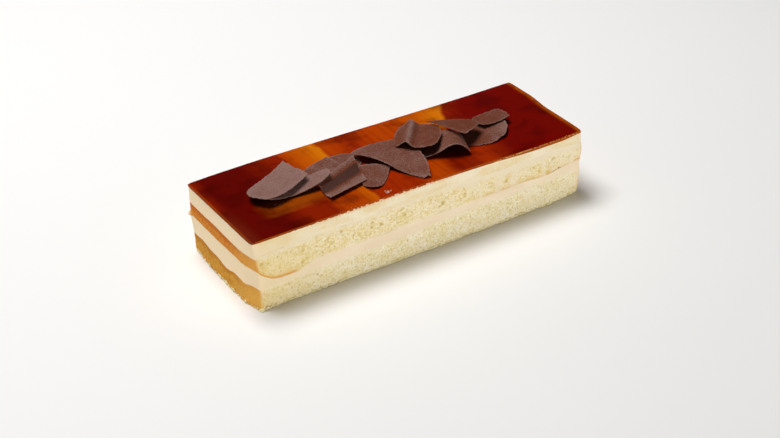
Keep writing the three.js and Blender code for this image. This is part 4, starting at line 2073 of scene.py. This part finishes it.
@dataclass(frozen=True)
class Studio:
    """Pale floor, soft lamps and the camera. Sizes are in metres and angles in degrees."""

    azimuth: float = -32.317
    elevation: float = 32.266
    roll: float = -0.989
    distance: float = 1.2983
    target: Spans = (-0.00164, 0.0, 0.0016)
    focal_pixels: float = 1591.0
    image_width: float = 780.0
    floor_reach: float = 12.0
    floor_drop: float = 0.0002
    floor_tint: Tint = screen(250, 249, 247)
    floor_patch: Tint = screen(246, 245, 243)
    floor_clouds: Cloud = Cloud((400.0, 400.0, 400.0))
    floor_roughness: float = 0.8
    floor_specular: float = 0.5
    sky: float = 0.08
    aim: Spans = (0.0, 0.0, 0.03)
    lamps: tuple[Lamp, ...] = (
        Lamp("key_softbox", (-0.35, 0.65, 2.1), width=1.3, depth=0.9, power=50.0),
        Lamp("front_strip", (0.62, -2.6, 0.03), width=2.4, depth=0.05, power=33.5),
        Lamp("near_strip", (-2.6, -0.5, 0.03), width=1.6, depth=0.05, power=14.0),
    )

    def build_floor(self) -> None:
        """Lays a wide square floor just under the cake."""
        reach = self.floor_reach
        corners = [(-reach, -reach), (reach, -reach), (reach, reach), (-reach, reach)]
        mesh = bpy.data.meshes.new("floor")
        mesh.from_pydata([(x, y, -self.floor_drop) for x, y in corners], [], [(0, 1, 2, 3)])
        bench = Bench("pale_floor")
        tint = bench.mix(bench.noise(self.floor_clouds), self.floor_tint, self.floor_patch)
        mesh.materials.append(bench.finish(tint, self.floor_roughness, self.floor_specular))
        floor = bpy.data.objects.new("floor", mesh)
        bpy.context.scene.collection.objects.link(floor)

    def build_light(self) -> None:
        """Hangs the lamps and sets a dim even surrounding."""
        world = bpy.data.worlds.new("studio")
        world.use_nodes = True
        backdrop = world.node_tree.nodes["Background"]
        backdrop.inputs["Color"].default_value = (1.0, 1.0, 1.0, 1.0)
        backdrop.inputs["Strength"].default_value = self.sky
        bpy.context.scene.world = world
        for lamp in self.lamps:
            lamp.build(Vector(self.aim))

    def build_camera(self) -> None:
        """Sets the camera at the viewing angle: back is away from the cake, right is level, then rolled."""
        a, e, r = (math.radians(angle) for angle in (self.azimuth, self.elevation, self.roll))
        back = Vector((math.sin(a) * math.cos(e), -math.cos(a) * math.cos(e), math.sin(e)))
        level = Vector((0.0, 0.0, 1.0)).cross(back).normalized()
        upright = back.cross(level)
        right = math.cos(r) * level + math.sin(r) * upright
        up = -math.sin(r) * level + math.cos(r) * upright
        data = bpy.data.cameras.new("camera")
        data.sensor_fit = "HORIZONTAL"
        data.lens = self.focal_pixels / self.image_width * data.sensor_width
        camera = bpy.data.objects.new("camera", data)
        turn = Matrix((right, up, back)).transposed().to_4x4()
        camera.matrix_world = Matrix.Translation(Vector(self.target) + self.distance * back) @ turn
        bpy.context.scene.collection.objects.link(camera)
        bpy.context.scene.camera = camera

    def build(self) -> None:
        """Sets up floor, light and camera, with colours shown as they are."""
        self.build_floor()
        self.build_light()
        self.build_camera()
        bpy.context.scene.view_settings.view_transform = "Standard"


def lay_cake(block: Block) -> None:
    """Builds the five layers of the bar, from the foot up.

    Args:
        block: The bar's form.
    """
    golden = SpongeFinish(
        "golden_sponge", screen(214, 160, 62), screen(194, 126, 36),
        pale=screen(255, 245, 219), warm=screen(238, 218, 152), hollow=screen(208, 184, 102),
    )
    browned = SpongeFinish("browned_sponge", screen(218, 142, 46), screen(198, 106, 24))
    pale = CreamFinish("top_cream", screen(248, 234, 203), screen(242, 222, 182), crumbed=0.4, stained=0.6)
    peach = CreamFinish("middle_cream", screen(249, 230, 199), screen(244, 222, 188))
    fine = Pores(size=1.4, share=0.9, depth=0.25, tone=0.5)
    middle = Pores(size=2.6, share=0.5, depth=0.4, tone=0.8)
    large = Pores(size=5.0, share=0.25, depth=0.8, tone=1.0)
    layers: tuple[Layer, ...] = (
        Sponge(
            block, "lower_sponge", block.floor, block.lower_top, golden, Slot.SPONGE, rows=34,
            grain=Grain(seed=11), pores=(fine, middle), foot_depth=1.3, end_calm=0.2, smear=0.85,
            smear_reach=0.07, smear_far=0.0,
        ),
        Cream(block, "middle_cream", block.lower_top, block.upper_foot, peach, Slot.CREAM, rows=14),
        Sponge(
            block, "upper_sponge", block.upper_foot, block.upper_top, browned, Slot.SPONGE, rows=34,
            grain=Grain(seed=19), pores=(fine, middle, large), crust=0.9, flake=2.4,
        ),
        Cream(block, "top_cream", block.upper_top, block.cream_top, pale, Slot.CREAM, rows=14),
        Glaze(block, "caramel_glaze", block.glaze_foot, block.glaze_top, GlazeFinish(), Slot.GLAZE, rows=6),
    )
    for layer in layers:
        layer.build()


def scatter_bits(block: Block) -> None:
    """Adds the crumb, specks and bubbles that lie on the bar.

    Args:
        block: The bar's form.
    """
    crumb = SpeckFinish("loose_crumb", screen(248, 238, 196), screen(226, 206, 140), roughness=0.85)
    cream = SpeckFinish("cream_speck", screen(236, 192, 150), screen(222, 156, 108), roughness=0.5)
    froth = SpeckFinish("caramel_froth", screen(226, 178, 156), screen(190, 104, 70), roughness=0.25)
    dust = SpeckFinish("chocolate_crumb", screen(112, 78, 66), screen(80, 46, 36), roughness=0.6)
    bits: tuple[Lumps, ...] = (
        FootCrumbs(block, "foot_crumbs", Slot.SPONGE, crumb, seed=5, count=1300, least=0.35, most=1.4),
        EdgeSpecks(block, "cream_specks", Slot.CREAM, cream, seed=8, count=100, least=0.15, most=0.4),
        Cluster(
            block, "froth", Slot.GLAZE, froth, seed=4, count=9, least=0.45, most=1.1,
            rings=7, around=12, middles=((-32.0, -47.5),), spread=1.2,
        ),
        Cluster(
            block, "chocolate_crumbs", Slot.CHOCOLATE, dust, seed=6, count=16, least=0.3, most=0.8,
            flatness=0.4, middles=((-29.0, -36.0), (9.7, -39.5), (-112.0, -16.0)), spread=1.8,
        ),
    )
    for bit in bits:
        bit.build()


def main() -> None:
    """Builds the cake from the foot up, then the studio."""
    logging.basicConfig(level=logging.INFO, format="%(message)s")
    block = Block()
    lay_cake(block)
    Heap().build()
    scatter_bits(block)
    Studio().build()


if __name__ == "__main__":
    main()
